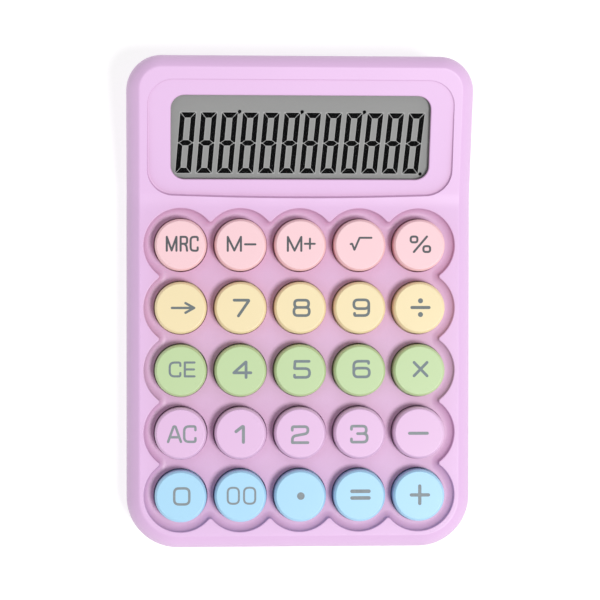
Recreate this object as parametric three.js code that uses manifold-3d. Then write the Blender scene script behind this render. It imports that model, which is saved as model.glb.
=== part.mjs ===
// Desk calculator: a sloped-display case with 25 round keys in a scalloped well, a twelve-digit
// liquid-crystal display, a silicone dome mat over one circuit board, and a sliding battery door.
// Millimetres, +Z up. Origin: the middle of the footprint, on the surface that the feet stand on.
// +X is the user's right, +Y points from the user towards the display.
import * as THREE from "three";
import { mergeVertices } from "three/addons/utils/BufferGeometryUtils.js";
import Module from "manifold-3d";

const wasm = await Module();
wasm.setup();

// ---------------------------------------------------------------- driving dimensions
const gap = 0.3; // between two pieces that meet
const weld = 0.4; // how far a moulded-on feature sinks into the wall that carries it
const past = 1; // how far a cutting tool runs past the face that it opens
const wall = 2; // moulded walls of both case halves

// Keys
const columns = 5;
const rows = 5;
const keyR = 8.1; // barrel of a keycap
const keySpacingX = 2.45; // between the barrels of two neighbours in a row
const keySpacingY = 3.4; // between the barrels of two neighbours in a column
const keyClearance = 0.35; // between a barrel and its hole
const keyRise = 5.3; // top of a keycap over the floor of the well
const keyEdge = 0.8; // sloped edge round the top of a keycap
const keyTravel = 2;
const keyFlange = 1; // collar that keeps a keycap in the case, wide and thick
const keySkin = 1.3;
const stemR = 2.2;

// Case
const wellMargin = 3.35; // from a barrel to the rim of the well
const wellDepth = 1.8;
const coveWidth = 2.2; // the well's wall curves into its floor over this width
const rimLand = 1.45; // flat land between the rim of the well and the sloped edge
const edgeWidth = 4; // sloped edge round the whole top, in plan
const edgeDepth = 6.4;
const frontCornerR = 16.1;
const backCornerR = 10.9;
const keypadTopZ = 16.8;
const foldMargin = 14.2; // from the last row of keys to the fold where the display rises
const displayLength = 44.5; // from the fold to the back edge
const displaySlope = 0.289; // rise for each millimetre towards the back
const displayWall = 3; // the case is thicker round the display, which is let into it
const baseZ = 1; // underside of the case
const partingZ = 8; // where the two halves meet
const baseEdgeWidth = 3;
const baseEdgeDepth = 6.5;
const lipThickness = 1;
const lipHeight = 1.5;

// Display
const panelSide = 6.5; // from the side of the case to the recessed panel
const panelFront = 1; // from the fold to the recessed panel
const panelBack = 7.6; // from the back of the case to the recessed panel
const panelDrop = 1; // depth of the recess at its front; it fades out at the back
const panelCornerR = 8.2;
const panelBow = 0.7; // how far the panel's front edge bows out
const windowSide = 13.8; // from the side of the case to the window
const windowFront = 6.25; // from the fold to the window
const windowBack = 12.65; // from the back of the case to the window
const windowCornerR = 4.3;
const windowChamfer = 1.2;
const windowChamferDepth = 0.5;
const windowRim = 0.8; // skin left round the window, in front of the lens
const lensBorder = 2.8; // how far lens and glass reach past the window
const lensThickness = 0.7;
const glassThickness = 1.8;
const reflectorThickness = 0.3;
const holderThickness = 1.6;
const holderEarR = 3;
const holderPostMargin = 0.9; // from the lens to the holder's screw posts
const holderRib = 1.2; // stiffening ribs of the holder
const holderRibV = 6; // from the display's middle to a rib
const flexWidth = 40;
const flexThickness = 0.25;
const flexLanding = 3; // length of the flex that lies on the board, and on the glass

// Board and dome mat
const boardThickness = 1.2;
const matThickness = 1;
const domeR = 4.6;
const domeTopR = 3;
const domeHeight = 2.9;
const boardTail = 5.6; // the board reaches this far behind the mat, for the display's flex

// Fasteners
const postR = 3; // screw posts of the top case
const bossR = 3.6; // screw bosses of the bottom case
const postDrop = 0.7; // the posts reach this far below the parting line
const pilotR = 1.3;
const screwR = 0.95;
const screwHeadR = 2.5;
const screwHeadHeight = 1.3;
const screwLength = 8;
const boardScrewHeadR = 2.2;
const boardPostR = 2.6;

// Feet and battery
const footR = 5;
const footHeight = 1.5;
const footRecess = 0.8;
const footMargin = 7.2; // from the side of the case to a foot
const backFootMargin = 14;
const cellR = 5.25; // one AAA cell
const cellLength = 44.5;
const springRoom = 4.5; // for the coil spring behind the cell
const cellBackMargin = 17; // from the back of the case to the cell's axis
const ribThickness = 1.5;
const doorThickness = 2;
const doorTongue = 1.2;
const doorLength = 30;
const doorSkirtTop = 6.2; // the door wraps up the back of the case to here
const railSink = 0.5; // the door's tongues run this far below the floor's inside
const gripCount = 4; // finger grooves across the door
const gripHalfX = 7;
const gripPitch = 2.2;
const gripWidth = 1;
const gripDepth = 0.4;
const gripMargin = 4; // from the door's front edge to the first groove
const contactHalf = 3.5; // the two contact plates
const contactThickness = 0.5;
const springWireR = 0.4;
const leadR = 0.6; // the two wires to the board

// Sides of the round shapes
const keySides = 16;
const wellSides = 24;

// ---------------------------------------------------------------- derived layout
const pitchX = 2 * keyR + keySpacingX;
const pitchY = 2 * keyR + keySpacingY;
const edgeMargin = keyR + wellMargin + rimLand + edgeWidth; // from an outer key's centre to the side
const halfWidth = ((columns - 1) * pitchX) / 2 + edgeMargin;
const keypadLength = edgeMargin + (rows - 1) * pitchY + foldMargin;
const halfLength = (keypadLength + displayLength) / 2;
const front = -halfLength;
const back = halfLength;
const foldY = front + keypadLength;
const columnX = (column) => (column - (columns - 1) / 2) * pitchX;
const rowY = (row) => front + edgeMargin + (rows - 1 - row) * pitchY; // row 0 is next to the display
const wellR = keyR + wellMargin;
const wellFloorZ = keypadTopZ - wellDepth;
const caseTopZ = (y) => keypadTopZ + Math.max(0, y - foldY) * displaySlope;
const floorZ = baseZ + wall;

// A keycap hangs by its collar under the well's floor, over a dome of the mat.
const keyTopZ = wellFloorZ + keyRise;
const collarTopZ = wellFloorZ - wall - gap;
const collarBottomZ = collarTopZ - keyFlange;
const matTopZ = collarBottomZ - keyTravel - 2 * gap;
const matBottomZ = matTopZ - matThickness;
const boardTopZ = matBottomZ - gap;
const boardBottomZ = boardTopZ - boardThickness;
const domeTopZ = matTopZ + domeHeight;
const stemBottomZ = domeTopZ + gap;

// The lip of the bottom case stands inside the wall of the top case.
const lipInset = wall + gap;
const insideInset = lipInset + lipThickness;
const postX = halfWidth - insideInset - gap - postR;
const casePosts = [
  [postX, (rowY(3) + rowY(4)) / 2],
  [postX, (rowY(0) + rowY(1)) / 2],
  [postX - 0.6, back - backCornerR],
];
const boardPosts = [
  [(columnX(3) + columnX(4)) / 2, (rowY(3) + rowY(4)) / 2],
  [(columnX(3) + columnX(4)) / 2, (rowY(0) + rowY(1)) / 2],
];

// The display is built on the panel's plane: its own X, V up the slope and W out of the face.
const panelFrontY = foldY + panelFront;
const panelBackY = back - panelBack;
const panelSlope = displaySlope + panelDrop / (panelBackY - panelFrontY);
const panelAngle = Math.atan(panelSlope);
const windowFrontY = foldY + windowFront;
const windowBackY = back - windowBack;
const windowY = (windowFrontY + windowBackY) / 2;
const windowZ = caseTopZ(panelBackY) - (panelBackY - windowY) * panelSlope;
const windowHalfW = halfWidth - windowSide;
const windowHalfH = (windowBackY - windowFrontY) / 2 / Math.cos(panelAngle);
const lensHalfW = windowHalfW + lensBorder;
const lensHalfH = windowHalfH + lensBorder;
const lensTopW = -windowRim - gap;
const glassTopW = lensTopW - lensThickness - gap;
const reflectorTopW = glassTopW - glassThickness - gap;
const holderTopW = reflectorTopW - reflectorThickness - gap;
const holderPostX = lensHalfW + gap + holderPostMargin + boardPostR;
const displayMatrix = new THREE.Matrix4()
  .makeTranslation(0, windowY, windowZ)
  .multiply(new THREE.Matrix4().makeRotationX(panelAngle));
const onDisplay = (v, w) => {
  const point = new THREE.Vector3(0, v, w).applyMatrix4(displayMatrix);
  return new THREE.Vector2(point.y, point.z);
};

// Battery bay
const cellY = back - cellBackMargin;
const cellZ = baseZ + doorThickness + gap + cellR;
const bayHalfX = cellLength / 2 + springRoom;
const bayHalfY = cellR + 2 * gap;
const doorHalfX = bayHalfX - 1;
const doorFrontY = back - doorLength;

// ---------------------------------------------------------------- helpers
// A closed geometry as a manifold-3d solid.
function solidOf(geometry) {
  const bare = geometry.clone();
  bare.deleteAttribute("normal");
  bare.deleteAttribute("uv");
  const merged = mergeVertices(bare, 1e-4);
  const triVerts = new Uint32Array(merged.index.array);
  const vertProperties = new Float32Array(merged.attributes.position.array);
  return new wasm.Manifold(new wasm.Mesh({ numProp: 3, vertProperties, triVerts }));
}

// A manifold-3d solid as a geometry that three.js draws.
function geometryOf(solid) {
  const mesh = solid.getMesh();
  const geometry = new THREE.BufferGeometry();
  geometry.setAttribute("position", new THREE.BufferAttribute(mesh.vertProperties, 3));
  geometry.setIndex(new THREE.BufferAttribute(mesh.triVerts, 1));
  const faceted = geometry.toNonIndexed();
  faceted.computeVertexNormals();
  return faceted;
}

const join = (solids) => solids.reduce((whole, solid) => whole.add(solid));
const cut = (solid, tools) => tools.reduce((rest, tool) => rest.subtract(tool), solid);

function box(x0, x1, y0, y1, z0, z1) {
  const geometry = new THREE.BoxGeometry(x1 - x0, y1 - y0, z1 - z0);
  return solidOf(geometry.translate((x0 + x1) / 2, (y0 + y1) / 2, (z0 + z1) / 2));
}

function disc(x, y, r, z0, z1, segments = 16) {
  const geometry = new THREE.CylinderGeometry(r, r, z1 - z0, segments);
  return solidOf(geometry.rotateX(Math.PI / 2).translate(x, y, (z0 + z1) / 2));
}

// A turned piece standing on Z; the profile is a list of [radius, z] from the axis to the axis.
function turned(profile, segments) {
  const points = profile.map(([r, z]) => new THREE.Vector2(r, z));
  return new THREE.LatheGeometry(points, segments).rotateX(Math.PI / 2);
}

// An outline symmetric about Y, with one radius at its front corners and one at its back corners.
function roundedOutline(halfX, y0, y1, frontR, backR) {
  const shape = new THREE.Shape();
  shape.absarc(halfX - frontR, y0 + frontR, frontR, -Math.PI / 2, 0);
  shape.absarc(halfX - backR, y1 - backR, backR, 0, Math.PI / 2);
  shape.absarc(-halfX + backR, y1 - backR, backR, Math.PI / 2, Math.PI);
  shape.absarc(-halfX + frontR, y0 + frontR, frontR, Math.PI, 1.5 * Math.PI);
  return shape;
}

// The case's outline, drawn in by inset.
function caseOutline(inset) {
  return roundedOutline(
    halfWidth - inset,
    front + inset,
    back - inset,
    frontCornerR - inset,
    backCornerR - inset,
  );
}

// A plate of an outline between z0 and z1.
function plate(shape, z0, z1, curveSegments = 4) {
  const options = { depth: z1 - z0, bevelEnabled: false, curveSegments };
  return new THREE.ExtrudeGeometry(shape, options).translate(0, 0, z0);
}

// The same, with a rounded-off slope at both of its ends.
function edgedPlate(shape, z0, z1, width, depth, bevelSegments = 2) {
  const options = {
    depth: z1 - z0 - 2 * depth,
    bevelThickness: depth,
    bevelSize: width,
    bevelOffset: -width,
    bevelSegments,
    curveSegments: 4,
  };
  return new THREE.ExtrudeGeometry(shape, options).translate(0, 0, z0 + depth);
}

const above = (z) => box(-2 * halfWidth, 2 * halfWidth, 2 * front, 2 * back, z, z + 100);
const below = (z) => box(-2 * halfWidth, 2 * halfWidth, 2 * front, 2 * back, z - 100, z);

// The space under the case's top faces, down to z0: flat over the keys, rising behind the fold.
// Drawn in by inset, its sloped edge starts at the same height as the outside's.
function lidSpace(inset, keypadDrop, displayDrop, z0) {
  const outline = caseOutline(inset);
  const deep = z0 - 40;
  const depth = edgeDepth - inset;
  const flat = edgedPlate(outline, deep, keypadTopZ - keypadDrop, edgeWidth, depth);
  const sloped = edgedPlate(outline, deep, keypadTopZ - displayDrop, edgeWidth, depth)
    .applyMatrix4(new THREE.Matrix4().makeShear(0, 0, 0, displaySlope, 0, 0))
    .translate(0, 0, -displaySlope * foldY);
  return solidOf(flat).add(solidOf(sloped)).intersect(above(z0));
}

// Runs make for every key, row by row.
function eachKey(make) {
  const made = [];
  for (let row = 0; row < rows; row++) {
    for (let column = 0; column < columns; column++) {
      made.push(make(columnX(column), rowY(row), row, column));
    }
  }
  return made;
}

const mirrored = (places) => places.flatMap(([x, y]) => [[-x, y], [x, y]]);

// ---------------------------------------------------------------- the scene graph
const calculator = new THREE.Group();
calculator.name = "calculator";

function finish(color, roughness, metalness = 0) {
  return new THREE.MeshStandardMaterial({ color, roughness, metalness, flatShading: true });
}

const shellPlastic = finish(0xeccaf0, 0.5);
const pinkPlastic = finish(0xfddade, 0.5);
const yellowPlastic = finish(0xfbebc3, 0.5);
const greenPlastic = finish(0xcfe6b5, 0.5);
const lilacPlastic = finish(0xf0cdec, 0.5);
const bluePlastic = finish(0xbfe8fd, 0.5);
const clearPlastic = new THREE.MeshStandardMaterial({
  color: 0xf2f5f6,
  roughness: 0.05,
  metalness: 0,
  transparent: true,
  opacity: 0.25,
});
const liquidCrystal = finish(0x9b9d9a, 0.35);
const foil = finish(0xc9ccce, 0.3, 0.8);
const whitePlastic = finish(0xe6e6e2, 0.55);
const flexFilm = finish(0xb5743a, 0.45);
const boardLaminate = finish(0x2f6d3c, 0.5);
const blackResin = finish(0x161618, 0.4);
const silicone = finish(0xdfe0df, 0.7);
const cellWrap = finish(0x3e6f9f, 0.35, 0.3);
const springSteel = finish(0xc8cacc, 0.3, 1);
const zincSteel = finish(0xb9bcc0, 0.35, 1);
const softRubber = finish(0xd9d3da, 0.85);
const redSheath = finish(0xb3242a, 0.5);
const blackSheath = finish(0x1e1e20, 0.5);

function add(name, shape, material, parent = calculator) {
  const geometry = shape.isBufferGeometry ? shape : geometryOf(shape);
  const mesh = new THREE.Mesh(geometry, material);
  mesh.name = name;
  parent.add(mesh);
  return mesh;
}

// ---------------------------------------------------------------- top case
// The recessed panel's outline in the panel's plane; its front edge bows towards the keys.
function panelOutline() {
  const run = 1 / Math.cos(panelAngle);
  const halfX = halfWidth - panelSide;
  const v0 = (panelFrontY - windowY) * run;
  const v1 = (panelBackY - windowY) * run;
  const shape = new THREE.Shape();
  const innerX = halfX - panelCornerR;
  shape.absarc(innerX, v0 + panelBow + panelCornerR, panelCornerR, -Math.PI / 2, 0);
  shape.absarc(innerX, v1 - panelCornerR, panelCornerR, 0, Math.PI / 2);
  shape.absarc(-innerX, v1 - panelCornerR, panelCornerR, Math.PI / 2, Math.PI);
  shape.absarc(-innerX, v0 + panelBow + panelCornerR, panelCornerR, Math.PI, 1.5 * Math.PI);
  shape.quadraticCurveTo(0, v0 - panelBow, innerX, v0 + panelBow);
  return shape;
}

// A cut round one key: steep at the rim, coved into the floor.
function wellCut(x, y) {
  const cove = [
    [0, wellFloorZ],
    [wellR - coveWidth, wellFloorZ],
    [wellR - 0.35 * coveWidth, wellFloorZ + 0.35 * wellDepth],
    [wellR, keypadTopZ],
    [wellR, keypadTopZ + 1],
    [0, keypadTopZ + 1],
  ];
  return solidOf(turned(cove, wellSides).translate(x, y, 0));
}

const keypadHalfX = columnX(columns - 1);
const keypadBlock = (z0, z1) => box(-keypadHalfX, keypadHalfX, rowY(rows - 1), rowY(0), z0, z1);

function topCase() {
  const shell = lidSpace(0, 0, 0, partingZ + gap).subtract(
    lidSpace(wall, wall, displayWall, partingZ - 1),
  );

  // The well's floor hangs below the lid's skin.
  const skin = eachKey((x, y) =>
    disc(x, y, wellR + wall, wellFloorZ - wall, keypadTopZ - wall + weld),
  );
  skin.push(keypadBlock(wellFloorZ - wall, keypadTopZ - wall + weld));

  const posts = mirrored(casePosts).map(([x, y]) =>
    disc(x, y, postR, partingZ - postDrop, caseTopZ(y) - wall + weld),
  );
  const shortPosts = mirrored(boardPosts).map(([x, y]) =>
    disc(x, y, boardPostR, boardTopZ + gap, wellFloorZ - 0.5 * wall, 10),
  );
  const holderPosts = [-holderPostX, holderPostX].map((x) =>
    disc(x, 0, boardPostR, holderTopW + gap, -1).transform(displayMatrix.elements),
  );
  const body = join([shell, ...skin, ...posts, ...shortPosts, ...holderPosts]);

  const cuts = eachKey((x, y) => wellCut(x, y));
  cuts.push(keypadBlock(wellFloorZ, keypadTopZ + 1));
  eachKey((x, y) => cuts.push(disc(x, y, keyR + keyClearance, 0, keypadTopZ, keySides)));
  for (const [x, y] of mirrored(casePosts)) {
    cuts.push(disc(x, y, pilotR, 0, screwLength + partingZ, 8));
  }
  for (const [x, y] of mirrored(boardPosts)) {
    cuts.push(disc(x, y, pilotR, 0, wellFloorZ - wall, 8));
  }

  // The display's cuts are made in the panel's plane.
  const displayCuts = [
    solidOf(plate(panelOutline(), 0, 12)),
    solidOf(
      plate(
        roundedOutline(windowHalfW, -windowHalfH, windowHalfH, windowCornerR, windowCornerR),
        -12,
        12,
      ),
    ),
    solidOf(
      edgedPlate(
        roundedOutline(
          windowHalfW + windowChamfer,
          -windowHalfH - windowChamfer,
          windowHalfH + windowChamfer,
          windowCornerR + windowChamfer,
          windowCornerR + windowChamfer,
        ),
        -windowChamferDepth,
        12,
        windowChamfer,
        windowChamferDepth,
        1,
      ),
    ),
    box(
      -lensHalfW - gap,
      lensHalfW + gap,
      -lensHalfH - gap,
      lensHalfH + gap,
      -12,
      -windowRim,
    ),
  ];
  for (const x of [-holderPostX, holderPostX]) {
    displayCuts.push(disc(x, 0, pilotR, -12, -2.2, 8));
  }
  const placed = displayCuts.map((tool) => tool.transform(displayMatrix.elements));
  return cut(body, [...cuts, ...placed]);
}

add("top_case", topCase(), shellPlastic);

// ---------------------------------------------------------------- bottom case and battery door
// The tub's outside, from its underside to the parting line.
function tubOutside() {
  const top = partingZ + 3 * baseEdgeDepth;
  return solidOf(edgedPlate(caseOutline(0), baseZ, top, baseEdgeWidth, baseEdgeDepth)).intersect(
    below(partingZ),
  );
}

const tubInside = solidOf(plate(caseOutline(insideInset), floorZ, partingZ + 20));
const tubShell = tubOutside().subtract(tubInside);

// The space that the battery door takes out of the tub, grown by a clearance.
function doorSpace(grow) {
  const top = doorSkirtTop + grow;
  return box(-doorHalfX - grow, doorHalfX + grow, doorFrontY - grow, back + past, baseZ - past, top);
}

// The door's tongues run in grooves along both sides of its opening, and leave them at the back.
function doorRails(grow, backY) {
  const reach = doorHalfX + doorTongue + grow;
  const z0 = floorZ - railSink - 0.5 * doorTongue - grow;
  const z1 = floorZ - railSink + 0.5 * doorTongue + grow;
  return box(-reach, reach, doorFrontY - grow, backY, z0, z1);
}

const feetPlaces = mirrored([
  [halfWidth - footMargin - footR, front + footMargin + footR],
  [halfWidth - footMargin - footR, back - backFootMargin - footR],
]);

function bottomCase() {
  const lip = solidOf(plate(caseOutline(lipInset), floorZ, partingZ + lipHeight)).subtract(
    tubInside,
  );
  const bosses = mirrored(casePosts).map(([x, y]) =>
    disc(x, y, bossR, baseZ + weld, partingZ - postDrop - gap),
  );
  const inRim = solidOf(plate(caseOutline(lipInset), baseZ - 1, partingZ + lipHeight));
  const railSeat = [-1, 1].map((side) => {
    const inner = side * (doorHalfX + gap);
    const outer = side * (doorHalfX + doorTongue + gap + ribThickness);
    return box(
      Math.min(inner, outer),
      Math.max(inner, outer),
      doorFrontY,
      back - insideInset,
      floorZ - 0.2,
      floorZ + 0.5 * doorTongue + ribThickness,
    );
  });
  const frontWall = cellY - bayHalfY - ribThickness;
  const bay = [
    box(-bayHalfX, bayHalfX, frontWall, frontWall + ribThickness, floorZ - 0.2, cellZ + 1),
    box(-bayHalfX - ribThickness, -bayHalfX, frontWall, cellY + cellR, floorZ - 0.2, cellZ + 3),
    box(bayHalfX, bayHalfX + ribThickness, frontWall, cellY + cellR, floorZ - 0.2, cellZ + 3),
  ];
  const body = join([tubShell, lip, ...railSeat, ...bay, join(bosses).intersect(inRim)]);

  const cuts = [doorSpace(gap), doorRails(gap, back + past)];
  for (const [x, y] of mirrored(casePosts)) {
    cuts.push(disc(x, y, pilotR + 0.1, 0, partingZ, 8));
    cuts.push(disc(x, y, screwHeadR + gap, 0, baseZ + 0.5 * wall + screwHeadHeight + gap));
  }
  for (const [x, y] of feetPlaces) {
    cuts.push(disc(x, y, footR + gap, 0, baseZ + footRecess));
  }
  return cut(body, cuts);
}

add("bottom_case", bottomCase(), shellPlastic);

function batteryDoor() {
  const panel = tubShell.intersect(doorSpace(0));
  const tongues = doorRails(0, back - baseEdgeWidth - doorTongue);
  const grips = Array.from({ length: gripCount }, (_, i) => {
    const y = doorFrontY + gripMargin + gripPitch * i;
    return box(-gripHalfX, gripHalfX, y, y + gripWidth, baseZ - past, baseZ + gripDepth);
  });
  return cut(panel.add(tongues), grips);
}

add("battery_door", batteryDoor(), shellPlastic);

feetPlaces.forEach(([x, y], i) => {
  const foot = turned(
    [
      [0, 0],
      [footR - 0.5, 0],
      [footR, 0.5],
      [footR, footHeight],
      [0, footHeight],
    ],
    20,
  );
  const names = ["front_left", "front_right", "back_left", "back_right"];
  add("foot_" + names[i], foot, softRubber).position.set(x, y, 0);
});

// ---------------------------------------------------------------- keycaps
// A hollow cap with a collar at its foot and a stem that presses the dome below it.
function keycap() {
  const ceiling = keyTopZ - keySkin;
  return turned(
    [
      [0, stemBottomZ],
      [stemR, stemBottomZ],
      [stemR, ceiling],
      [keyR - keySkin, ceiling],
      [keyR - keySkin, collarBottomZ],
      [keyR + keyFlange, collarBottomZ],
      [keyR + keyFlange, collarTopZ],
      [keyR, collarTopZ],
      [keyR, keyTopZ - keyEdge],
      [keyR - keyEdge, keyTopZ],
      [0, keyTopZ],
    ],
    keySides,
  );
}

const keyNames = [
  ["memory_recall", "memory_minus", "memory_plus", "root", "percent"],
  ["backspace", "7", "8", "9", "divide"],
  ["clear_entry", "4", "5", "6", "multiply"],
  ["all_clear", "1", "2", "3", "subtract"],
  ["0", "00", "point", "equals", "add"],
];
const rowPlastic = [pinkPlastic, yellowPlastic, greenPlastic, lilacPlastic, bluePlastic];
eachKey((x, y, row, column) => {
  const key = add("key_" + keyNames[row][column], keycap(), rowPlastic[row]);
  key.position.set(x, y, 0);
});

// ---------------------------------------------------------------- dome mat and circuit board
const matHalfX = postX - bossR - gap; // between the screw bosses at the case's sides
const matFront = rowY(rows - 1) - keyR - keyFlange;
const matBack = rowY(0) + keyR + keyFlange;

function domeMat() {
  const sheet = box(-matHalfX, matHalfX, matFront, matBack, matBottomZ, matTopZ);
  const domes = eachKey((x, y) =>
    solidOf(
      turned(
        [
          [0, matTopZ - 0.4],
          [domeR, matTopZ - 0.4],
          [domeR, matTopZ + 0.4],
          [domeTopR, domeTopZ],
          [0, domeTopZ],
        ],
        8,
      ).translate(x, y, 0),
    ),
  );
  const hollows = eachKey((x, y) => disc(x, y, domeTopR, matBottomZ - 1, matTopZ + 1, 6));
  const holes = mirrored(boardPosts).map(([x, y]) =>
    disc(x, y, boardPostR + 2 * gap, matBottomZ - 1, matTopZ + 1, 8),
  );
  return cut(join([sheet, ...domes]), [...hollows, ...holes]);
}

add("dome_mat", domeMat(), silicone);

const boardBack = matBack + boardTail;

function circuitBoard() {
  const laminate = box(-matHalfX, matHalfX, matFront, boardBack, boardBottomZ, boardTopZ);
  const holes = mirrored(boardPosts).map(([x, y]) =>
    disc(x, y, pilotR, boardBottomZ - 1, boardTopZ + 1, 8),
  );
  return cut(laminate, holes);
}

add("circuit_board", circuitBoard(), boardLaminate);

const chip = turned(
  [
    [0, -1.6],
    [2.6, -1.4],
    [4.6, -0.6],
    [5, 0],
    [0, 0],
  ],
  16,
);
add("chip_resin", chip, blackResin).position.set(columnX(1), rowY(2), boardBottomZ - gap);

const capacitorR = 1.35;
const capacitor = new THREE.CylinderGeometry(capacitorR, capacitorR, 6, 12).rotateZ(Math.PI / 2);
add("capacitor", capacitor, blackResin).position.set(
  columnX(3),
  boardBack - 4,
  boardBottomZ - gap - capacitorR,
);

// ---------------------------------------------------------------- display, in the panel's plane
const display = new THREE.Group();
display.position.set(0, windowY, windowZ);
display.rotation.x = panelAngle;
calculator.add(display);

const paneOutline = roundedOutline(lensHalfW, -lensHalfH, lensHalfH, 1, 1);
add(
  "display_lens",
  plate(paneOutline, lensTopW - lensThickness, lensTopW, 2),
  clearPlastic,
  display,
);
add(
  "lcd_glass",
  plate(paneOutline, glassTopW - glassThickness, glassTopW, 2),
  liquidCrystal,
  display,
);

const flexReach = flexLanding + 2 * gap;
const reflectorOutline = roundedOutline(lensHalfW - 1, -lensHalfH + flexReach, lensHalfH - 1, 1, 1);
add(
  "lcd_reflector",
  plate(reflectorOutline, reflectorTopW - reflectorThickness, reflectorTopW, 2),
  foil,
  display,
);

function displayHolder() {
  const bottomW = holderTopW - holderThickness;
  const reach = holderPostX;
  const tray = box(-lensHalfW, lensHalfW, -lensHalfH + flexReach, lensHalfH, bottomW, holderTopW);
  const arms = box(-reach, reach, -holderEarR, holderEarR, bottomW, holderTopW);
  const ears = [-reach, reach].map((x) => disc(x, 0, holderEarR, bottomW, holderTopW));
  const ribs = [-holderRibV, holderRibV].map((v) =>
    box(-lensHalfW, lensHalfW, v - holderRib / 2, v + holderRib / 2, bottomW - 1, holderTopW),
  );
  const holes = [-reach, reach].map((x) => disc(x, 0, pilotR, bottomW - 1, holderTopW + 1, 8));
  return cut(join([tray, arms, ...ears, ...ribs]), holes);
}

add("lcd_holder", displayHolder(), whitePlastic, display);

// A ribbon: the outline of a strip that follows a line of [y, z] points, extruded along X.
function ribbon(points, thickness, width) {
  const side = (sign) =>
    points.map((point, i) => {
      const from = points[Math.max(0, i - 1)];
      const to = points[Math.min(points.length - 1, i + 1)];
      const along = to.clone().sub(from).normalize();
      const across = new THREE.Vector2(-along.y, along.x);
      return point.clone().addScaledVector(across, (sign * thickness) / 2);
    });
  const shape = new THREE.Shape([...side(1), ...side(-1).reverse()]);
  const options = { depth: width, bevelEnabled: false };
  const strip = new THREE.ExtrudeGeometry(shape, options).translate(0, 0, -width / 2);
  const basis = new THREE.Matrix4().makeBasis(
    new THREE.Vector3(0, 1, 0),
    new THREE.Vector3(0, 0, 1),
    new THREE.Vector3(1, 0, 0),
  );
  return strip.applyMatrix4(basis);
}

function displayFlex() {
  const topW = reflectorTopW - flexThickness / 2;
  const glassEnd = onDisplay(-lensHalfH + flexLanding, topW);
  const glassEdge = onDisplay(-lensHalfH + 0.5, topW);
  const landingZ = boardTopZ + gap + flexThickness / 2;
  const boardEdge = new THREE.Vector2(boardBack - 0.5, landingZ);
  const boardEnd = new THREE.Vector2(boardEdge.x - flexLanding, landingZ);
  const leave = glassEdge.clone().sub(glassEnd).normalize().multiplyScalar(2.4);
  const bend = new THREE.CubicBezierCurve(
    glassEdge,
    glassEdge.clone().add(leave),
    new THREE.Vector2(boardEdge.x + 2.4, landingZ),
    boardEdge,
  );
  return ribbon([glassEnd, ...bend.getPoints(8), boardEnd], flexThickness, flexWidth);
}

add("lcd_flex", displayFlex(), flexFilm);

// ---------------------------------------------------------------- battery, contacts and wires
const cell = turned(
  [
    [0, -cellLength / 2],
    [cellR - 1, -cellLength / 2],
    [cellR, -cellLength / 2 + 0.6],
    [cellR, cellLength / 2 - 1.4],
    [cellR - 0.7, cellLength / 2 - 0.8],
    [1.9, cellLength / 2 - 0.8],
    [1.9, cellLength / 2],
    [0, cellLength / 2],
  ],
  20,
).rotateY(Math.PI / 2);
const cellShift = bayHalfX - contactThickness - 3 * gap - cellLength / 2;
add("battery", cell, cellWrap).position.set(cellShift, cellY, cellZ);

const contactPlate = (x) => {
  const half = contactThickness / 2;
  return box(x - half, x + half, cellY - contactHalf, cellY + contactHalf, cellZ - 3, cellZ + 3);
};
const contactX = bayHalfX - gap - contactThickness / 2;
add("battery_contact", contactPlate(contactX), zincSteel);

// A wire coiled round X, from its plate to the flat end of the cell.
class Coil extends THREE.Curve {
  constructor(start, length, wideR, narrowR, turns) {
    super();
    Object.assign(this, { start, length, wideR, narrowR, turns });
  }

  getPoint(t) {
    const angle = 2 * Math.PI * this.turns * t;
    const r = THREE.MathUtils.lerp(this.wideR, this.narrowR, t);
    const x = this.start + this.length * t;
    return new THREE.Vector3(x, cellY + r * Math.cos(angle), cellZ + r * Math.sin(angle));
  }
}

// A round section swept along a path.
function wire(path, r, steps, sides) {
  const section = new THREE.Shape();
  section.absarc(0, 0, r, 0, 2 * Math.PI);
  const options = { steps, extrudePath: path, curveSegments: sides / 2, bevelEnabled: false };
  return new THREE.ExtrudeGeometry(section, options);
}

function coilSpring() {
  const cellEnd = cellShift - cellLength / 2;
  const length = cellEnd - gap - springWireR + contactX - 0.1;
  const coil = new Coil(-contactX + 0.1, length, 3, 1.8, 3);
  return contactPlate(-contactX).add(solidOf(wire(coil, springWireR, 27, 6)));
}

add("battery_spring", coilSpring(), springSteel);

// Each wire leaves its contact over the bay's end wall and ends under the board.
function lead(side) {
  const endZ = boardBottomZ - gap;
  return new THREE.CatmullRomCurve3(
    [
      [side * (bayHalfX + ribThickness + 1.2), cellY - 1, cellZ - 1],
      [side * (bayHalfX + ribThickness + 1.2), cellY - 9, cellZ - 2.5],
      [side * (bayHalfX - 4), cellY - 16, floorZ + 2.5],
      [side * (bayHalfX - 10), boardBack + 3, floorZ + 1.4],
      [side * (bayHalfX - 12), boardBack - 2, floorZ + 1.6],
      [side * (bayHalfX - 12), boardBack - 4, endZ],
    ].map((point) => new THREE.Vector3(...point)),
  );
}

add("wire_red", wire(lead(1), leadR, 20, 6), redSheath);
add("wire_black", wire(lead(-1), leadR, 20, 6), blackSheath);

// ---------------------------------------------------------------- screws
// A pan-head screw, head down, with a cross recess; its origin is under the head.
function screw(length, headR) {
  const blank = solidOf(
    turned(
      [
        [0, -screwHeadHeight],
        [headR - 0.5, -screwHeadHeight],
        [headR, -0.5 * screwHeadHeight],
        [headR, 0],
        [screwR, 0],
        [screwR, length - 1],
        [0, length],
      ],
      10,
    ),
  );
  const slotHalf = 0.3;
  const armHalf = 1.3;
  const depth = -0.45 * screwHeadHeight;
  const low = -screwHeadHeight - 1;
  return cut(blank, [
    box(-armHalf, armHalf, -slotHalf, slotHalf, low, depth),
    box(-slotHalf, slotHalf, -armHalf, armHalf, low, depth),
  ]);
}

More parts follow.
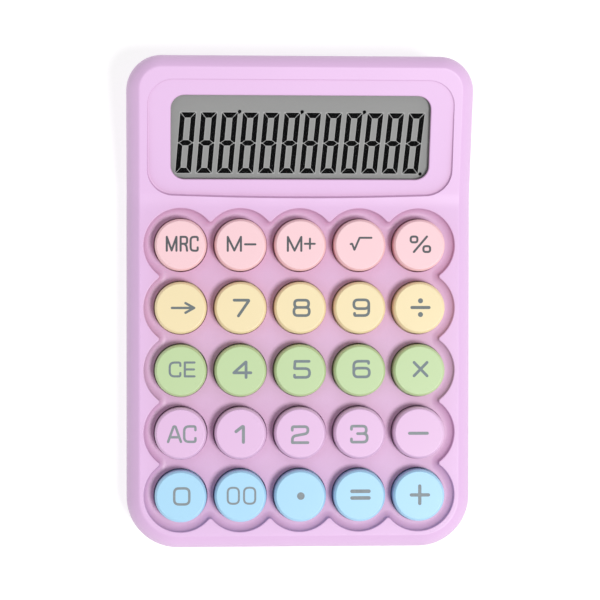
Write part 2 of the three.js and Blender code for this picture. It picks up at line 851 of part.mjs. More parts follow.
const caseScrewZ = baseZ + 0.5 * wall + screwHeadHeight;
mirrored(casePosts).forEach(([x, y], i) => {
  add("case_screw_" + (i + 1), screw(screwLength, screwHeadR), zincSteel).position.set(
    x,
    y,
    caseScrewZ,
  );
});
mirrored(boardPosts).forEach(([x, y], i) => {
  const length = wellFloorZ - wall - boardBottomZ - 1;
  add("board_screw_" + (i + 1), screw(length, boardScrewHeadR), zincSteel).position.set(
    x,
    y,
    boardBottomZ - gap,
  );
});
[-holderPostX, holderPostX].forEach((x, i) => {
  const underW = holderTopW - holderThickness - gap;
  const length = -2.6 - underW;
  add("holder_screw_" + (i + 1), screw(length, boardScrewHeadR), zincSteel, display).position.set(
    x,
    0,
    underW,
  );
});

export default calculator;
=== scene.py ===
import math

import bmesh
import bpy
from mathutils import Matrix, Vector, geometry


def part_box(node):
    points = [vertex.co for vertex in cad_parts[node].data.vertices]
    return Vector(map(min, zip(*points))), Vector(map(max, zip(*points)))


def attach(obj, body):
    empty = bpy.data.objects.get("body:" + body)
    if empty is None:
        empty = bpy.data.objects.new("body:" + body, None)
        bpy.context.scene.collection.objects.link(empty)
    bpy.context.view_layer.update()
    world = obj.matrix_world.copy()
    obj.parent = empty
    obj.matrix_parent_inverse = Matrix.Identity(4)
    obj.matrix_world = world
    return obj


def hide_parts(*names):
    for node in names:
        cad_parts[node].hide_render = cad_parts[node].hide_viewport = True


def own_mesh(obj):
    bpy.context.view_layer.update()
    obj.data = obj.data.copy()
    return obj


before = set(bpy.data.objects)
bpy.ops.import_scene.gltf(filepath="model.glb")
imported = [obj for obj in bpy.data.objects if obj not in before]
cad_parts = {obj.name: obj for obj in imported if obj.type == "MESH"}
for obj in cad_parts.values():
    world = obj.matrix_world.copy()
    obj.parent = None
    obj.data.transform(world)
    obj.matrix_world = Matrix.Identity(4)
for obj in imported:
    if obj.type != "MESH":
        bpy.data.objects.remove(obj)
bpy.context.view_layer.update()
scene = bpy.context.scene

# ---- Camera ---------------------------------------------------------------
# A long lens looks straight down on the keypad from just above and left of its middle,
# so that the keys on the right and in the lower rows show a little of their sides.
mm = 0.001
camera_data = bpy.data.cameras.new("camera")
camera_data.sensor_width = 36.0
camera_data.lens = 137.07
camera_data.clip_start = 0.05
camera_data.clip_end = 20.0
camera = bpy.data.objects.new("camera", camera_data)
camera.location = (-45.15 * mm, 10.33 * mm, 731.7 * mm)
camera.rotation_euler = (-0.0129, -0.0632, 0.0006)
scene.collection.objects.link(camera)
scene.camera = camera

# ---- Top case ---------------------------------------------------------------
# One lilac ABS moulding with a fine matt grain: the sloped rim, the keypad with its sunken
# scalloped well, and the raised display with its shallow panel and window. Posts under it
# take the screws. It is moulded in one piece, and everything else hangs from it.
row_names = [
    ["memory_recall", "memory_minus", "memory_plus", "root", "percent"],
    ["backspace", "7", "8", "9", "divide"],
    ["clear_entry", "4", "5", "6", "multiply"],
    ["all_clear", "1", "2", "3", "subtract"],
    ["0", "00", "point", "equals", "add"],
]


def middle(node):
    """The middle of a CAD node's box."""
    low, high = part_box(node)
    return (low + high) / 2


half_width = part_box("top_case")[1].x
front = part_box("top_case")[0].y
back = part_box("top_case")[1].y
key_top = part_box("key_8")[1].z
well_floor = key_top - 5.3 * mm
keypad_top = well_floor + 1.8 * mm
joint = 0.3 * mm  # seam between two moulded pieces
lip_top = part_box("bottom_case")[1].z
parting = lip_top - 1.5 * mm  # the two halves of the case meet here
wall = 2.0 * mm
fold = middle("key_root").y + 14.2 * mm  # behind this line the top climbs to the display
fold_softness = 2.5 * mm
slope = 0.289
front_corner_r = 16.1 * mm
back_corner_r = 10.9 * mm
rim_width = 4.0 * mm  # the sloped rim, seen from above
rim_low = 10.4 * mm  # the case is at its widest here
rim_pull_in = 0.6 * mm  # the rim's curve is pulled out towards this point
rim_pull_down = 2.2 * mm
rim_crease = 0.35 * mm  # width of the soft edge between the rim and the top
past = 1.0 * mm  # a cutting tool reaches this far past what it cuts


def rise(y):
    """How far the top has climbed at y, with a soft bend at the fold."""
    past = y - fold
    if past <= -fold_softness:
        return 0.0
    if past < fold_softness:
        return slope * (past + fold_softness) ** 2 / (4 * fold_softness)
    return slope * past


def sweep(x, y, r, start, end, steps, side=1):
    """Points on an arc, each with the direction that leads out of the outline there."""
    made = []
    for i in range(steps + 1):
        angle = start + (end - start) * i / steps
        out = Vector((math.cos(angle), math.sin(angle)))
        made.append((Vector((x, y)) + r * out, side * out))
    return made


def mirrored(right):
    """An outline from its right half, which runs from the front to the back."""
    left = [(Vector((-p.x, p.y)), Vector((-out.x, out.y))) for p, out in reversed(right)]
    return right + left


def rounded_box(half_x, low_y, high_y, front_r, back_r, stations=(), steps=16):
    """An outline with rounded corners; stations are extra points along its two sides."""
    right_angle = math.pi / 2
    right = sweep(half_x - front_r, low_y + front_r, front_r, -right_angle, 0, steps)
    right += [(Vector((half_x, y)), Vector((1, 0))) for y in stations]
    right += sweep(half_x - back_r, high_y - back_r, back_r, 0, right_angle, steps)
    return mirrored(right)


fold_stations = [fold + i * mm for i in range(-4, 9)]
case_outline = rounded_box(half_width, front, back, front_corner_r, back_corner_r, fold_stations)


def ring(outline, inset, z, lift=None):
    """The outline drawn in by inset at height z, raised by lift(y) where that is given."""
    points = [p - inset * out for p, out in outline]
    return [Vector((p.x, p.y, z + (lift(p.y) if lift else 0.0))) for p in points]


def bend(start, pull, end, steps=8):
    """Points on a curve from start to end that leaves and arrives in the direction of pull."""
    made = []
    for i in range(steps + 1):
        t = i / steps
        made.append(tuple(
            (1 - t) ** 2 * a + 2 * t * (1 - t) * b + t * t * c for a, b, c in zip(start, pull, end)
        ))
    return made


def shown(name, mesh, place=None):
    """A new object from a bmesh, moved to its place."""
    if place:
        mesh.transform(place)
    data = bpy.data.meshes.new(name)
    mesh.to_mesh(data)
    mesh.free()
    made = bpy.data.objects.new(name, data)
    scene.collection.objects.link(made)
    return made


def loft(name, rings, place=None, strips=False):
    """A closed body over rings of points, from low to high, each anticlockwise from above.
    Its ends are flat, or strips across a mirrored outline where they are curved."""
    mesh = bmesh.new()
    loops = [[mesh.verts.new(p) for p in points] for points in rings]
    count = len(loops[0])
    for low, high in zip(loops, loops[1:]):
        for i in range(count):
            j = (i + 1) % count
            mesh.faces.new((low[i], low[j], high[j], high[i]))
    for end in (list(reversed(loops[0])), loops[-1]):
        if not strips:
            mesh.faces.new(end)
            continue
        for i in range(count // 2 - 1):
            mesh.faces.new((end[i], end[i + 1], end[count - 2 - i], end[count - 1 - i]))
    return shown(name, mesh, place)


def turned(name, x, y, profile, place=None, painted_side_light=64):
    """A piece turned on a lathe: its profile is a list of (radius, height)."""
    circle = [2 * math.pi * i / painted_side_light for i in range(painted_side_light)]
    rings = [
        [Vector((x + r * math.cos(a), y + r * math.sin(a), z)) for a in circle]
        for r, z in profile
    ]
    return loft(name, rings, place)


def block(name, low, high, place=None):
    """A straight-sided tool or rib between two corners."""
    corners = [(low[0], low[1]), (high[0], low[1]), (high[0], high[1]), (low[0], high[1])]
    return loft(name, [[Vector((x, y, z)) for x, y in corners] for z in (low[2], high[2])], place)


def work(body, operation, tools):
    """Cuts the tools out of body, joins them on or keeps what they share, and drops them."""
    for tool in tools:
        step = body.modifiers.new("step", "BOOLEAN")
        step.solver = "MANIFOLD"
        step.operation = operation
        step.object = tool
    graph = bpy.context.evaluated_depsgraph_get()
    body.data = bpy.data.meshes.new_from_object(body.evaluated_get(graph))
    body.modifiers.clear()
    for tool in tools:
        bpy.data.objects.remove(tool)
    return body


def smooth(body, angle=32):
    """Shades curved faces smooth and keeps edges sharper than angle degrees."""
    body.data.shade_smooth()
    body.data.set_sharp_from_angle(angle=math.radians(angle))
    body.modifiers.new("even_shading", "WEIGHTED_NORMAL").keep_sharp = True
    return body


def lid(name, inset, top, base, lift, rim_foot):
    """The body under the case's top: a straight skirt, then the sloped rim up to the top."""
    rim_end = inset + rim_width
    pull = (inset + rim_pull_in, top - rim_pull_down)
    profile = bend((inset, rim_foot), pull, (rim_end, top), 12)
    last = Vector(profile.pop())
    before = last + (Vector(profile[-1]) - last).normalized() * rim_crease
    profile += bend(before, last, (rim_end + rim_crease, top), 4)
    rings = [ring(case_outline, *level) for level in base]
    rings += [ring(case_outline, draw, z, lift) for draw, z in profile]
    return loft(name, rings, strips=True)


skirt_break = 0.25 * mm  # the seam's edges are broken, so the seam shows as a fine groove
skirt = parting + joint
top_case = lid(
    "top_case_shell", 0.0, keypad_top,
    [(skirt_break, skirt), (0.0, skirt + skirt_break)], rise, rim_low,
)
display_wall = 3.0 * mm
inside_shift = (display_wall - wall) / slope
case_space = lid(
    "case_space", wall, keypad_top - wall, [(wall, parting - past)],
    lambda y: rise(y - inside_shift), rim_low,
)
work(top_case, "DIFFERENCE", [case_space])

key_places = [[middle("key_" + name) for name in row] for row in row_names]
well_r = 11.45 * mm
cusp_r = 0.9 * mm  # the points of land between two scallops are rounded
well_reach = well_r + wall
well_back = key_places[0][0].y
well_front = key_places[4][0].y
well_side = key_places[0][4].x
weld = 0.4 * mm
under_well = rounded_box(
    well_side + well_reach, well_front - well_reach, well_back + well_reach, well_reach, well_reach
)
well_pan = loft("well_pan", [
    ring(under_well, 0.0, well_floor - wall),
    ring(under_well, 0.0, keypad_top - wall + weld),
])

# The display is worked in the panel's own plane: x, v up the slope, w out of its face.
panel_front = fold + 1.0 * mm
panel_back = back - 7.6 * mm
panel_drop = 1.0 * mm  # the panel is this deep at its front and runs out at its back
panel_slope = slope + panel_drop / (panel_back - panel_front)
panel_angle = math.atan(panel_slope)
window_front = fold + 6.25 * mm
window_back = back - 12.65 * mm
window_y = (window_front + window_back) / 2
window_z = keypad_top + slope * (panel_back - fold) - (panel_back - window_y) * panel_slope
display = Matrix.Translation((0, window_y, window_z)) @ Matrix.Rotation(panel_angle, 4, "X")

post_r = 3.0 * mm
short_post_r = 2.6 * mm
pilot_r = 1.3 * mm
post_low = parting - 0.7 * mm
lens_half_x = half_width - 11.0 * mm
window_half_v = (window_back - window_front) / 2 / math.cos(panel_angle)
lens_half_v = window_half_v + 2.8 * mm
holder_top = -4.8 * mm
display_tool = 12.0 * mm  # tools that work the display reach this deep and this high
display_post_root = -1.0 * mm  # its two posts end inside the display's wall
display_pilot_end = -2.2 * mm
holder_x = middle("holder_screw_2").x
case_screws = [middle(f"case_screw_{i}") for i in range(1, 7)]
board_screws = [middle(f"board_screw_{i}") for i in range(1, 5)]
board_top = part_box("circuit_board")[1].z
posts = [
    turned("post", at.x, at.y, [(post_r, post_low), (post_r, keypad_top - wall + weld + rise(at.y))])
    for at in case_screws
]
posts += [
    turned("post", at.x, at.y, [
        (short_post_r, board_top + joint),
        (short_post_r, well_floor - wall / 2),
    ])
    for at in board_screws
]
posts += [
    turned("post", x, 0, [
        (short_post_r, holder_top + joint),
        (short_post_r, display_post_root),
    ], display)
    for x in (-holder_x, holder_x)
]
work(top_case, "UNION", [well_pan, *posts])


def scalloped(r, cusp):
    """The outline of circles of radius r round the outer keys, their cusps rounded off."""
    right_side = [row[4] for row in key_places[3:0:-1]]
    left_side = [row[0] for row in key_places[1:4]]
    centres = [*key_places[4], *right_side, *reversed(key_places[0]), *left_side]
    made = []
    for i, centre in enumerate(centres):
        joints = []
        for one, two in ((centres[i - 1], centre), (centre, centres[(i + 1) % len(centres)])):
            along = (two - one).to_2d()
            outward = Vector((along.y, -along.x)).normalized()
            depth = math.sqrt((r + cusp) ** 2 - (along.length / 2) ** 2)
            joints.append(((one + two) / 2).to_2d() + outward * depth)
        start = math.atan2(joints[0].y - centre.y, joints[0].x - centre.x)
        end = math.atan2(joints[1].y - centre.y, joints[1].x - centre.x)
        if end < start:
            end += 2 * math.pi
        made += sweep(centre.x, centre.y, r, start, end, math.ceil((end - start) / 0.08))[:-1]
        following = centres[(i + 1) % len(centres)]
        turn = math.atan2(following.y - joints[1].y, following.x - joints[1].x)
        if turn > end - math.pi:
            turn -= 2 * math.pi
        made += sweep(joints[1].x, joints[1].y, cusp, end - math.pi, turn, 8, side=-1)[:-1]
    return made


well_outline = scalloped(well_r, cusp_r)
rim_round = 0.35 * mm
cove_width = 2.3 * mm
cove_height = keypad_top - rim_round - well_floor
quarter = [math.pi / 2 * i / 8 for i in range(9)]
well_profile = [
    (cove_width * (1 - math.sin(a)), well_floor + cove_height * (1 - math.cos(a)))
    for a in quarter
]
well_profile += [
    (-rim_round * (1 - math.cos(a)), keypad_top - rim_round * (1 - math.sin(a)))
    for a in quarter[1:]
]
well_profile.append((-rim_round, keypad_top + past))
well = loft("well", [ring(well_outline, inset, z) for inset, z in well_profile])

key_r = 8.1 * mm
hole_r = key_r + 0.3 * mm
hole_flare = 0.15 * mm
hair = 0.01 * mm  # the flare stands this far over the well's floor, for a clean cut
key_holes = [
    turned("key_hole", at.x, at.y, [
        (hole_r, well_floor - wall - past),
        (hole_r, well_floor - hole_flare),
        (hole_r + hole_flare, well_floor + hair),
        (hole_r + hole_flare, keypad_top),
    ])
    for row in key_places for at in row
]
pilots = [
    turned("pilot", at.x, at.y, [(pilot_r, 0), (pilot_r, keypad_top - wall)], painted_side_light=24)
    for at in case_screws
]
pilots += [
    turned("pilot", at.x, at.y, [(pilot_r, 0), (pilot_r, well_floor - wall)], painted_side_light=24)
    for at in board_screws
]
pilots += [
    turned("pilot", x, 0, [(pilot_r, -display_tool), (pilot_r, display_pilot_end)], display, 24)
    for x in (-holder_x, holder_x)
]
work(top_case, "DIFFERENCE", [well, *key_holes, *pilots])

panel_half_x = half_width - 6.5 * mm
panel_r = 8.2 * mm
panel_bow = 0.7 * mm  # the panel's front edge bows forward by this much
bow_steps = 9
panel_low = (panel_front - window_y) / math.cos(panel_angle)
panel_high = (panel_back - window_y) / math.cos(panel_angle)
panel_inner = panel_half_x - panel_r
panel_right = [
    (
        Vector((panel_inner * i / bow_steps, panel_low + panel_bow * (i / bow_steps) ** 2)),
        Vector((2 * panel_bow * i / bow_steps / panel_inner, -1)).normalized(),
    )
    for i in range(1, bow_steps)
]
panel_right += sweep(panel_inner, panel_low + panel_bow + panel_r, panel_r, -math.pi / 2, 0, 16)
panel_right += sweep(panel_inner, panel_high - panel_r, panel_r, 0, math.pi / 2, 16)
panel_outline = mirrored(panel_right)
panel_cove = 0.45 * mm
panel_sink = 0.2 * mm  # the panel's back edge still shows as a fine step
panel_draft = 0.6 * mm
panel_profile = [
    (panel_cove * (1 - math.sin(a)), panel_cove * (1 - math.cos(a)) - panel_sink) for a in quarter
]
panel_profile.append((-panel_draft, 3 * past))
recess = loft("recess", [ring(panel_outline, inset, w) for inset, w in panel_profile], display)

window_half_x = half_width - 13.8 * mm
window_r = 4.3 * mm
window_outline = rounded_box(window_half_x, -window_half_v, window_half_v, window_r, window_r)
window_edge = 1.3 * mm  # the window's rounded edge, seen from above
window_edge_depth = 0.6 * mm
window_profile = [(0.0, -display_tool)]
window_profile += [
    (-window_edge * (1 - math.cos(a)), -window_edge_depth * (1 - math.sin(a))) for a in quarter
]
window_profile.append((-window_edge, display_tool))
window = loft("window", [ring(window_outline, inset, w) for inset, w in window_profile], display)
window_skin = 0.8 * mm
lens_pocket = block(
    "lens_pocket",
    (-lens_half_x - joint, -lens_half_v - joint, -display_tool),
    (lens_half_x + joint, lens_half_v + joint, -window_skin),
    display,
)
work(top_case, "DIFFERENCE", [recess, window, lens_pocket])
smooth(top_case)


def effect(name, inputs, outputs):
    """An empty node group with named sockets, for an effect that several finishes share."""
    group = bpy.data.node_groups.new(name, "ShaderNodeTree")
    for socket, kind, value in inputs:
        made = group.interface.new_socket(socket, in_out="INPUT", socket_type="NodeSocket" + kind)
        made.default_value = value
    for socket, kind in outputs:
        group.interface.new_socket(socket, in_out="OUTPUT", socket_type="NodeSocket" + kind)
    return group, group.nodes.new("NodeGroupInput"), group.nodes.new("NodeGroupOutput")


def node(tree, kind, links=(), **settings):
    """A shader node: settings are its own, links join its inputs to sockets or set values."""
    made = tree.nodes.new("ShaderNode" + kind)
    for key, value in settings.items():
        setattr(made, key, value)
    for key, value in dict(links).items():
        if isinstance(value, bpy.types.NodeSocket):
            tree.links.new(value, made.inputs[key])
        else:
            made.inputs[key].default_value = value
    return made


def build_mottle():
    """Cloudy lightening and darkening of a colour, as in any dyed or painted surface."""
    tree, given, result = effect(
        "mottle",
        [("Colour", "Color", (1, 1, 1, 1)), ("Scale", "Float", 60.0), ("Amount", "Float", 0.03)],
        [("Colour", "Color")],
    )
    place = node(tree, "TexCoord").outputs["Object"]
    clouds = node(tree, "TexNoise", {"Vector": place, "Scale": given.outputs["Scale"],
                                     "Detail": 4.0, "Roughness": 0.6})
    swing = node(tree, "Math", {0: clouds.outputs["Fac"], 1: 0.5}, operation="SUBTRACT")
    scaled = node(tree, "Math", {0: swing.outputs[0], 1: given.outputs["Amount"]},
                  operation="MULTIPLY")
    factor = node(tree, "Math", {0: scaled.outputs[0], 1: 1.0}, operation="ADD")
    shade = node(tree, "VectorMath", {0: given.outputs["Colour"]}, operation="SCALE")
    tree.links.new(factor.outputs[0], shade.inputs["Scale"])
    tree.links.new(shade.outputs[0], result.inputs["Colour"])
    return tree


def build_grain():
    """The fine spark-eroded texture of a mould: a height for bump and a change of roughness."""
    tree, given, result = effect(
        "moulded_grain",
        [("Scale", "Float", 2500.0), ("Roughness", "Float", 0.5), ("Patchiness", "Float", 0.08)],
        [("Height", "Float"), ("Roughness", "Float")],
    )
    place = node(tree, "TexCoord").outputs["Object"]
    grit = node(tree, "TexNoise", {"Vector": place, "Scale": given.outputs["Scale"],
                                   "Detail": 3.0, "Roughness": 0.7})
    patches = node(tree, "TexNoise", {"Vector": place, "Scale": 35.0, "Detail": 3.0})
    both = node(tree, "Math", {0: grit.outputs["Fac"], 1: patches.outputs["Fac"]},
                operation="ADD")
    swing = node(tree, "Math", {0: both.outputs[0], 1: 1.0}, operation="SUBTRACT")
    change = node(tree, "Math", {0: swing.outputs[0], 1: given.outputs["Patchiness"]},
                  operation="MULTIPLY")
    total = node(tree, "Math", {0: change.outputs[0], 1: given.outputs["Roughness"]},
                 operation="ADD")
    tree.links.new(grit.outputs["Fac"], result.inputs["Height"])
    tree.links.new(total.outputs[0], result.inputs["Roughness"])
    return tree


def build_wear_and_highlight():
    """A mask of the outer edges, broken up by noise: partly where hands and bags rub them, partly a
    painted highlight where they catch light.
    """
    tree, given, result = effect(
        "edge_wear_and_highlight",
        [("Width", "Float", 0.0005), ("Amount", "Float", 0.3), ("Breakup", "Float", 400.0)],
        [("Mask", "Float")],
    )
    place = node(tree, "TexCoord").outputs["Object"]
    near = node(tree, "AmbientOcclusion", {"Distance": given.outputs["Width"]},
                samples=6, inside=True, only_local=True)
    edge = node(tree, "Math", {0: 1.0, 1: near.outputs["AO"]}, operation="SUBTRACT")
    broken = node(tree, "TexNoise", {"Vector": place, "Scale": given.outputs["Breakup"],
                                     "Detail": 4.0})
    wear_highlight_mask = node(tree, "Math", {0: edge.outputs[0], 1: broken.outputs["Fac"]},
                  operation="MULTIPLY")
    mask = node(tree, "Math", {0: wear_highlight_mask.outputs[0], 1: given.outputs["Amount"]},
                operation="MULTIPLY", use_clamp=True)
    tree.links.new(mask.outputs[0], result.inputs["Mask"])
    return tree


def build_side_faces():
    """A mask of the faces that look sideways, where a painted colour stands in for their bounce light
    and shade.
    """
    tree, given, result = effect(
        "side_faces", [("Full at", "Float", 0.2)], [("Mask", "Float")],
    )
    geometry_node = node(tree, "NewGeometry")
    parts = node(tree, "SeparateXYZ", {0: geometry_node.outputs["Normal"]})
    upright_part = node(tree, "Math", {0: parts.outputs["Z"]}, operation="ABSOLUTE")
    mask = node(tree, "MapRange", {"Value": upright_part.outputs[0], "From Min": 0.85,
                                   "To Min": 0.0, "To Max": 1.0})
    tree.links.new(given.outputs["Full at"], mask.inputs["From Max"])
    tree.links.new(mask.outputs[0], result.inputs["Mask"])
    return tree


def build_recess_shade():
    """A mask of the valleys that look up and are shut in by their neighbours, for painted shade there.
    """
    tree, given, result = effect(
        "painted_recess_shade",
        [("Reach", "Float", 0.006), ("Amount", "Float", 0.5), ("Gain", "Float", 2.6),
         ("Breakup", "Float", 120.0)],
        [("Mask", "Float")],
    )
    place = node(tree, "TexCoord").outputs["Object"]
    open_sky = node(tree, "AmbientOcclusion", {"Distance": given.outputs["Reach"]},
                    samples=8, only_local=False)
    shut_in = node(tree, "Math", {0: 1.0, 1: open_sky.outputs["AO"]}, operation="SUBTRACT")
    filled = node(tree, "Math", {0: shut_in.outputs[0], 1: given.outputs["Gain"]},
                  operation="MULTIPLY", use_clamp=True)
    facing = node(tree, "SeparateXYZ", {0: node(tree, "NewGeometry").outputs["Normal"]})
    upward = node(tree, "MapRange", {"Value": facing.outputs["Z"], "From Min": 0.0,
                                     "From Max": 0.6})
    upward_shade = node(tree, "Math", {0: filled.outputs[0], 1: upward.outputs[0]},
                   operation="MULTIPLY")
    patches = node(tree, "TexNoise", {"Vector": place, "Scale": given.outputs["Breakup"],
                                      "Detail": 3.0})
    uneven = node(tree, "MapRange", {"Value": patches.outputs["Fac"], "From Min": 0.2,
                                     "From Max": 0.8, "To Min": 0.85, "To Max": 1.15})
    broken = node(tree, "Math", {0: upward_shade.outputs[0], 1: uneven.outputs[0]},
                  operation="MULTIPLY")
    mask = node(tree, "Math", {0: broken.outputs[0], 1: given.outputs["Amount"]},
                operation="MULTIPLY", use_clamp=True)
    tree.links.new(mask.outputs[0], result.inputs["Mask"])
    return tree


mottle = build_mottle()
painted_recess_shade = build_recess_shade()
side_faces = build_side_faces()
moulded_grain = build_grain()
edge_wear_and_highlight = build_wear_and_highlight()


def placed(tree, group, links):
    """A shared effect in a material, with that material's own values."""
    made = tree.nodes.new("ShaderNodeGroup")
    made.node_tree = group
    for key, value in links.items():
        if isinstance(value, bpy.types.NodeSocket):
            tree.links.new(value, made.inputs[key])
        else:
            made.inputs[key].default_value = value
    return made


def finish_of(name, colour, worn_and_lit, roughness, clouds=(60.0, 0.03), grain=(2500.0, 0.08, 0.02),
              wear_and_highlight=(0.5, 0.35), painted_side_light=None, recess_shade=None, **settings):
    """A finish of mottled colour, edge wear with a painted highlight, and fine grain. Clouds are a
    scale and an amount, grain a scale, a patchiness and a depth in millimetres, wear a width in
    millimetres and an amount for the paler edges, partly worn and partly painted as lit. Sides is a
    painted colour for faces that don't look up, standing in for their bounce light and shade, and the
    setting after it a colour, a reach in millimetres and an amount of painted shade for the
    upward-facing recesses;
    settings are the shader's own."""
    made = bpy.data.materials.new(name)
    made.use_nodes = True
    made.diffuse_color = (*colour, 1)
    tree = made.node_tree
    shader = tree.nodes["Principled BSDF"]
    for setting, value in settings.items():
        shader.inputs[setting.replace("_", " ")].default_value = value
    cloudy = placed(tree, mottle, {"Colour": (*colour, 1), "Scale": clouds[0],
                                   "Amount": clouds[1]})
    wear_highlight_mask = placed(tree, edge_wear_and_highlight, {"Width": wear_and_highlight[0] * mm, "Amount": wear_and_highlight[1]})
    texture = placed(tree, moulded_grain, {"Scale": grain[0], "Roughness": roughness,
                                           "Patchiness": grain[1]})
    # Paler colour on the edges: partly rubbing, partly a painted highlight.
    blend = node(tree, "Mix", data_type="RGBA")
    tree.links.new(wear_highlight_mask.outputs["Mask"], blend.inputs["Factor"])
    tree.links.new(cloudy.outputs["Colour"], blend.inputs["A"])
    blend.inputs["B"].default_value = (*worn_and_lit, 1)
    # Faces that look sideways take a painted colour for the bounce light and shade they get.
    if painted_side_light:
        side_light_mix = node(tree, "Mix", data_type="RGBA")
        tree.links.new(placed(tree, side_faces, {}).outputs["Mask"], side_light_mix.inputs["Factor"])
        tree.links.new(cloudy.outputs["Colour"], side_light_mix.inputs["A"])
        side_light_mix.inputs["B"].default_value = (*painted_side_light, 1)
        tree.links.new(side_light_mix.outputs["Result"], blend.inputs["A"])
    # Upward-facing recesses darken towards a painted shade colour.
    if recess_shade:
        shade_mix = node(tree, "Mix", data_type="RGBA")
        valley_shade = placed(tree, painted_recess_shade, {"Reach": recess_shade[1] * mm, "Amount": recess_shade[2]})
        tree.links.new(valley_shade.outputs["Mask"], shade_mix.inputs["Factor"])
        tree.links.new(blend.inputs["A"].links[0].from_socket, shade_mix.inputs["A"])
        shade_mix.inputs["B"].default_value = (*recess_shade[0], 1)
        tree.links.new(shade_mix.outputs["Result"], blend.inputs["A"])
    bump = node(tree, "Bump", {"Height": texture.outputs["Height"], "Strength": 0.6,
                               "Distance": grain[2] * mm})
    tree.links.new(blend.outputs["Result"], shader.inputs["Base Color"])
    tree.links.new(texture.outputs["Roughness"], shader.inputs["Roughness"])
    tree.links.new(bump.outputs["Normal"], shader.inputs["Normal"])
    return made


def dress(body, finish, slot_name, rides_on, *stands_for):
    """Gives a piece its finish and the body it moves with, and hides the CAD parts it stands for; the
    slot name is not used.
    """
    body.data.materials.clear()
    body.data.materials.append(finish)
    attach(body, rides_on)
    if stands_for:
        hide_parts(*stands_for)
    return body


# The shell's upward-facing recesses, the keypad's valleys most of all, get a brownish painted shade.
lilac_shell = finish_of(
    "lilac_shell", (0.665, 0.435, 0.685), (0.76, 0.56, 0.77), 0.42,
    clouds=(45.0, 0.035), grain=(2200.0, 0.10, 0.02), wear_and_highlight=(0.45, 0.4),
    recess_shade=((0.30, 0.10, 0.12), 9.0, 0.32),
)
dress(top_case, lilac_shell, "case", "case", "top_case")

# ---- Keycaps ---------------------------------------------------------------
# Twenty-five round ABS caps, one colour to a row, satin from a polished mould. Each is a
# hollow cup with a collar that holds it in the case and a stem that meets its dome. The
# legends are pad-printed in grey ink, a hair proud of the top.
key_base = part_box("key_8")[0].z
collar_top = key_base + 1.0 * mm
collar_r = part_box("key_8")[1].x - middle("key_8").x
stem_low = key_base + 0.6 * mm
stem_r = 2.2 * mm
cap_skin = 1.3 * mm
cap_inside = key_r - cap_skin
ceiling = key_top - cap_skin
chamfer = 0.85 * mm
edge_round = 0.16 * mm
centre_r = 0.02 * mm  # a turned face closes on a ring as small as this
flat_r = key_r - 0.65 * mm
cap_profile = [
    (stem_r, stem_low),
    (stem_r, ceiling),
    (cap_inside, ceiling),
    (cap_inside, key_base),
    (collar_r, key_base),
    (collar_r, collar_top),
    (key_r, collar_top),
]
low_edge = Vector((key_r, key_top - chamfer))
high_edge = Vector((flat_r, key_top))
along_chamfer = (high_edge - low_edge).normalized() * edge_round
cap_profile += bend(low_edge - Vector((0, edge_round)), low_edge, low_edge + along_chamfer, 4)
cap_profile += bend(high_edge - along_chamfer, high_edge, high_edge - Vector((edge_round, 0)), 4)
cap_profile += [(0.5 * flat_r, key_top), (centre_r, key_top)]


def softened(points, closed):
    """A line of (x, y) or (x, y, radius) points whose corners are rounded off."""
    made = []
    count = len(points)
    for i, point in enumerate(points):
        here = Vector(point[:2])
        at_end = not closed and i in (0, count - 1)
        if at_end or len(point) == 2:
            made.append(here)
            continue
        before = Vector(points[i - 1][:2]) - here
        after = Vector(points[(i + 1) % count][:2]) - here
        reach = min(point[2], before.length * 0.49, after.length * 0.49)
        made += [Vector(p) for p in bend(
            here + before.normalized() * reach, here, here + after.normalized() * reach, 5
        )]
    return made


def slab(mesh, under, over, faces):
    """A sheet with thickness from two layers of corners: each face is laid over and under, and
    a wall closes every edge that belongs to one face only."""
    edges = set()
    for face in faces:
        mesh.faces.new([over[i] for i in face])
        mesh.faces.new([under[i] for i in reversed(face)])
        edges.update(zip(face, face[1:] + face[:1]))
    for i, j in edges:
        if (j, i) not in edges:
            mesh.faces.new((under[i], under[j], over[j], over[i]))


def ink_print(name, strokes, low, high):
    """A legend as one solid layer of ink. A stroke is (closed, points, width) in metres, laid
    down as round-ended bars; the bars of all its strokes are merged into one outline."""
    corners, bars = [], []
    for closed, points, width in strokes:
        line = softened([tuple(v / mm for v in point) for point in points], closed)
        for here, after in zip(line, line[1:] + (line[:1] if closed else [])):
            turn = math.atan2(after.y - here.y, after.x - here.x)
            half = width / mm / 2
            bar = sweep(after.x, after.y, half, turn - math.pi / 2, turn + math.pi / 2, 8)
            bar += sweep(here.x, here.y, half, turn + math.pi / 2, turn + 3 * math.pi / 2, 8)
            bars.append(list(range(len(corners), len(corners) + len(bar))))
            corners += [p for p, _ in bar]
    points, _, faces, _, _, owners = geometry.delaunay_2d_cdt(corners, [], bars, 0, 1e-4, True)
    inked = [face for face, owner in zip(faces, owners) if owner]
    mesh = bmesh.new()
    under = [mesh.verts.new((p.x * mm, p.y * mm, low)) for p in points]
    over = [mesh.verts.new((p.x * mm, p.y * mm, high)) for p in points]
    slab(mesh, under, over, inked)
    bmesh.ops.delete(mesh, geom=[v for v in mesh.verts if not v.link_faces], context="VERTS")
    return shown(name, mesh)


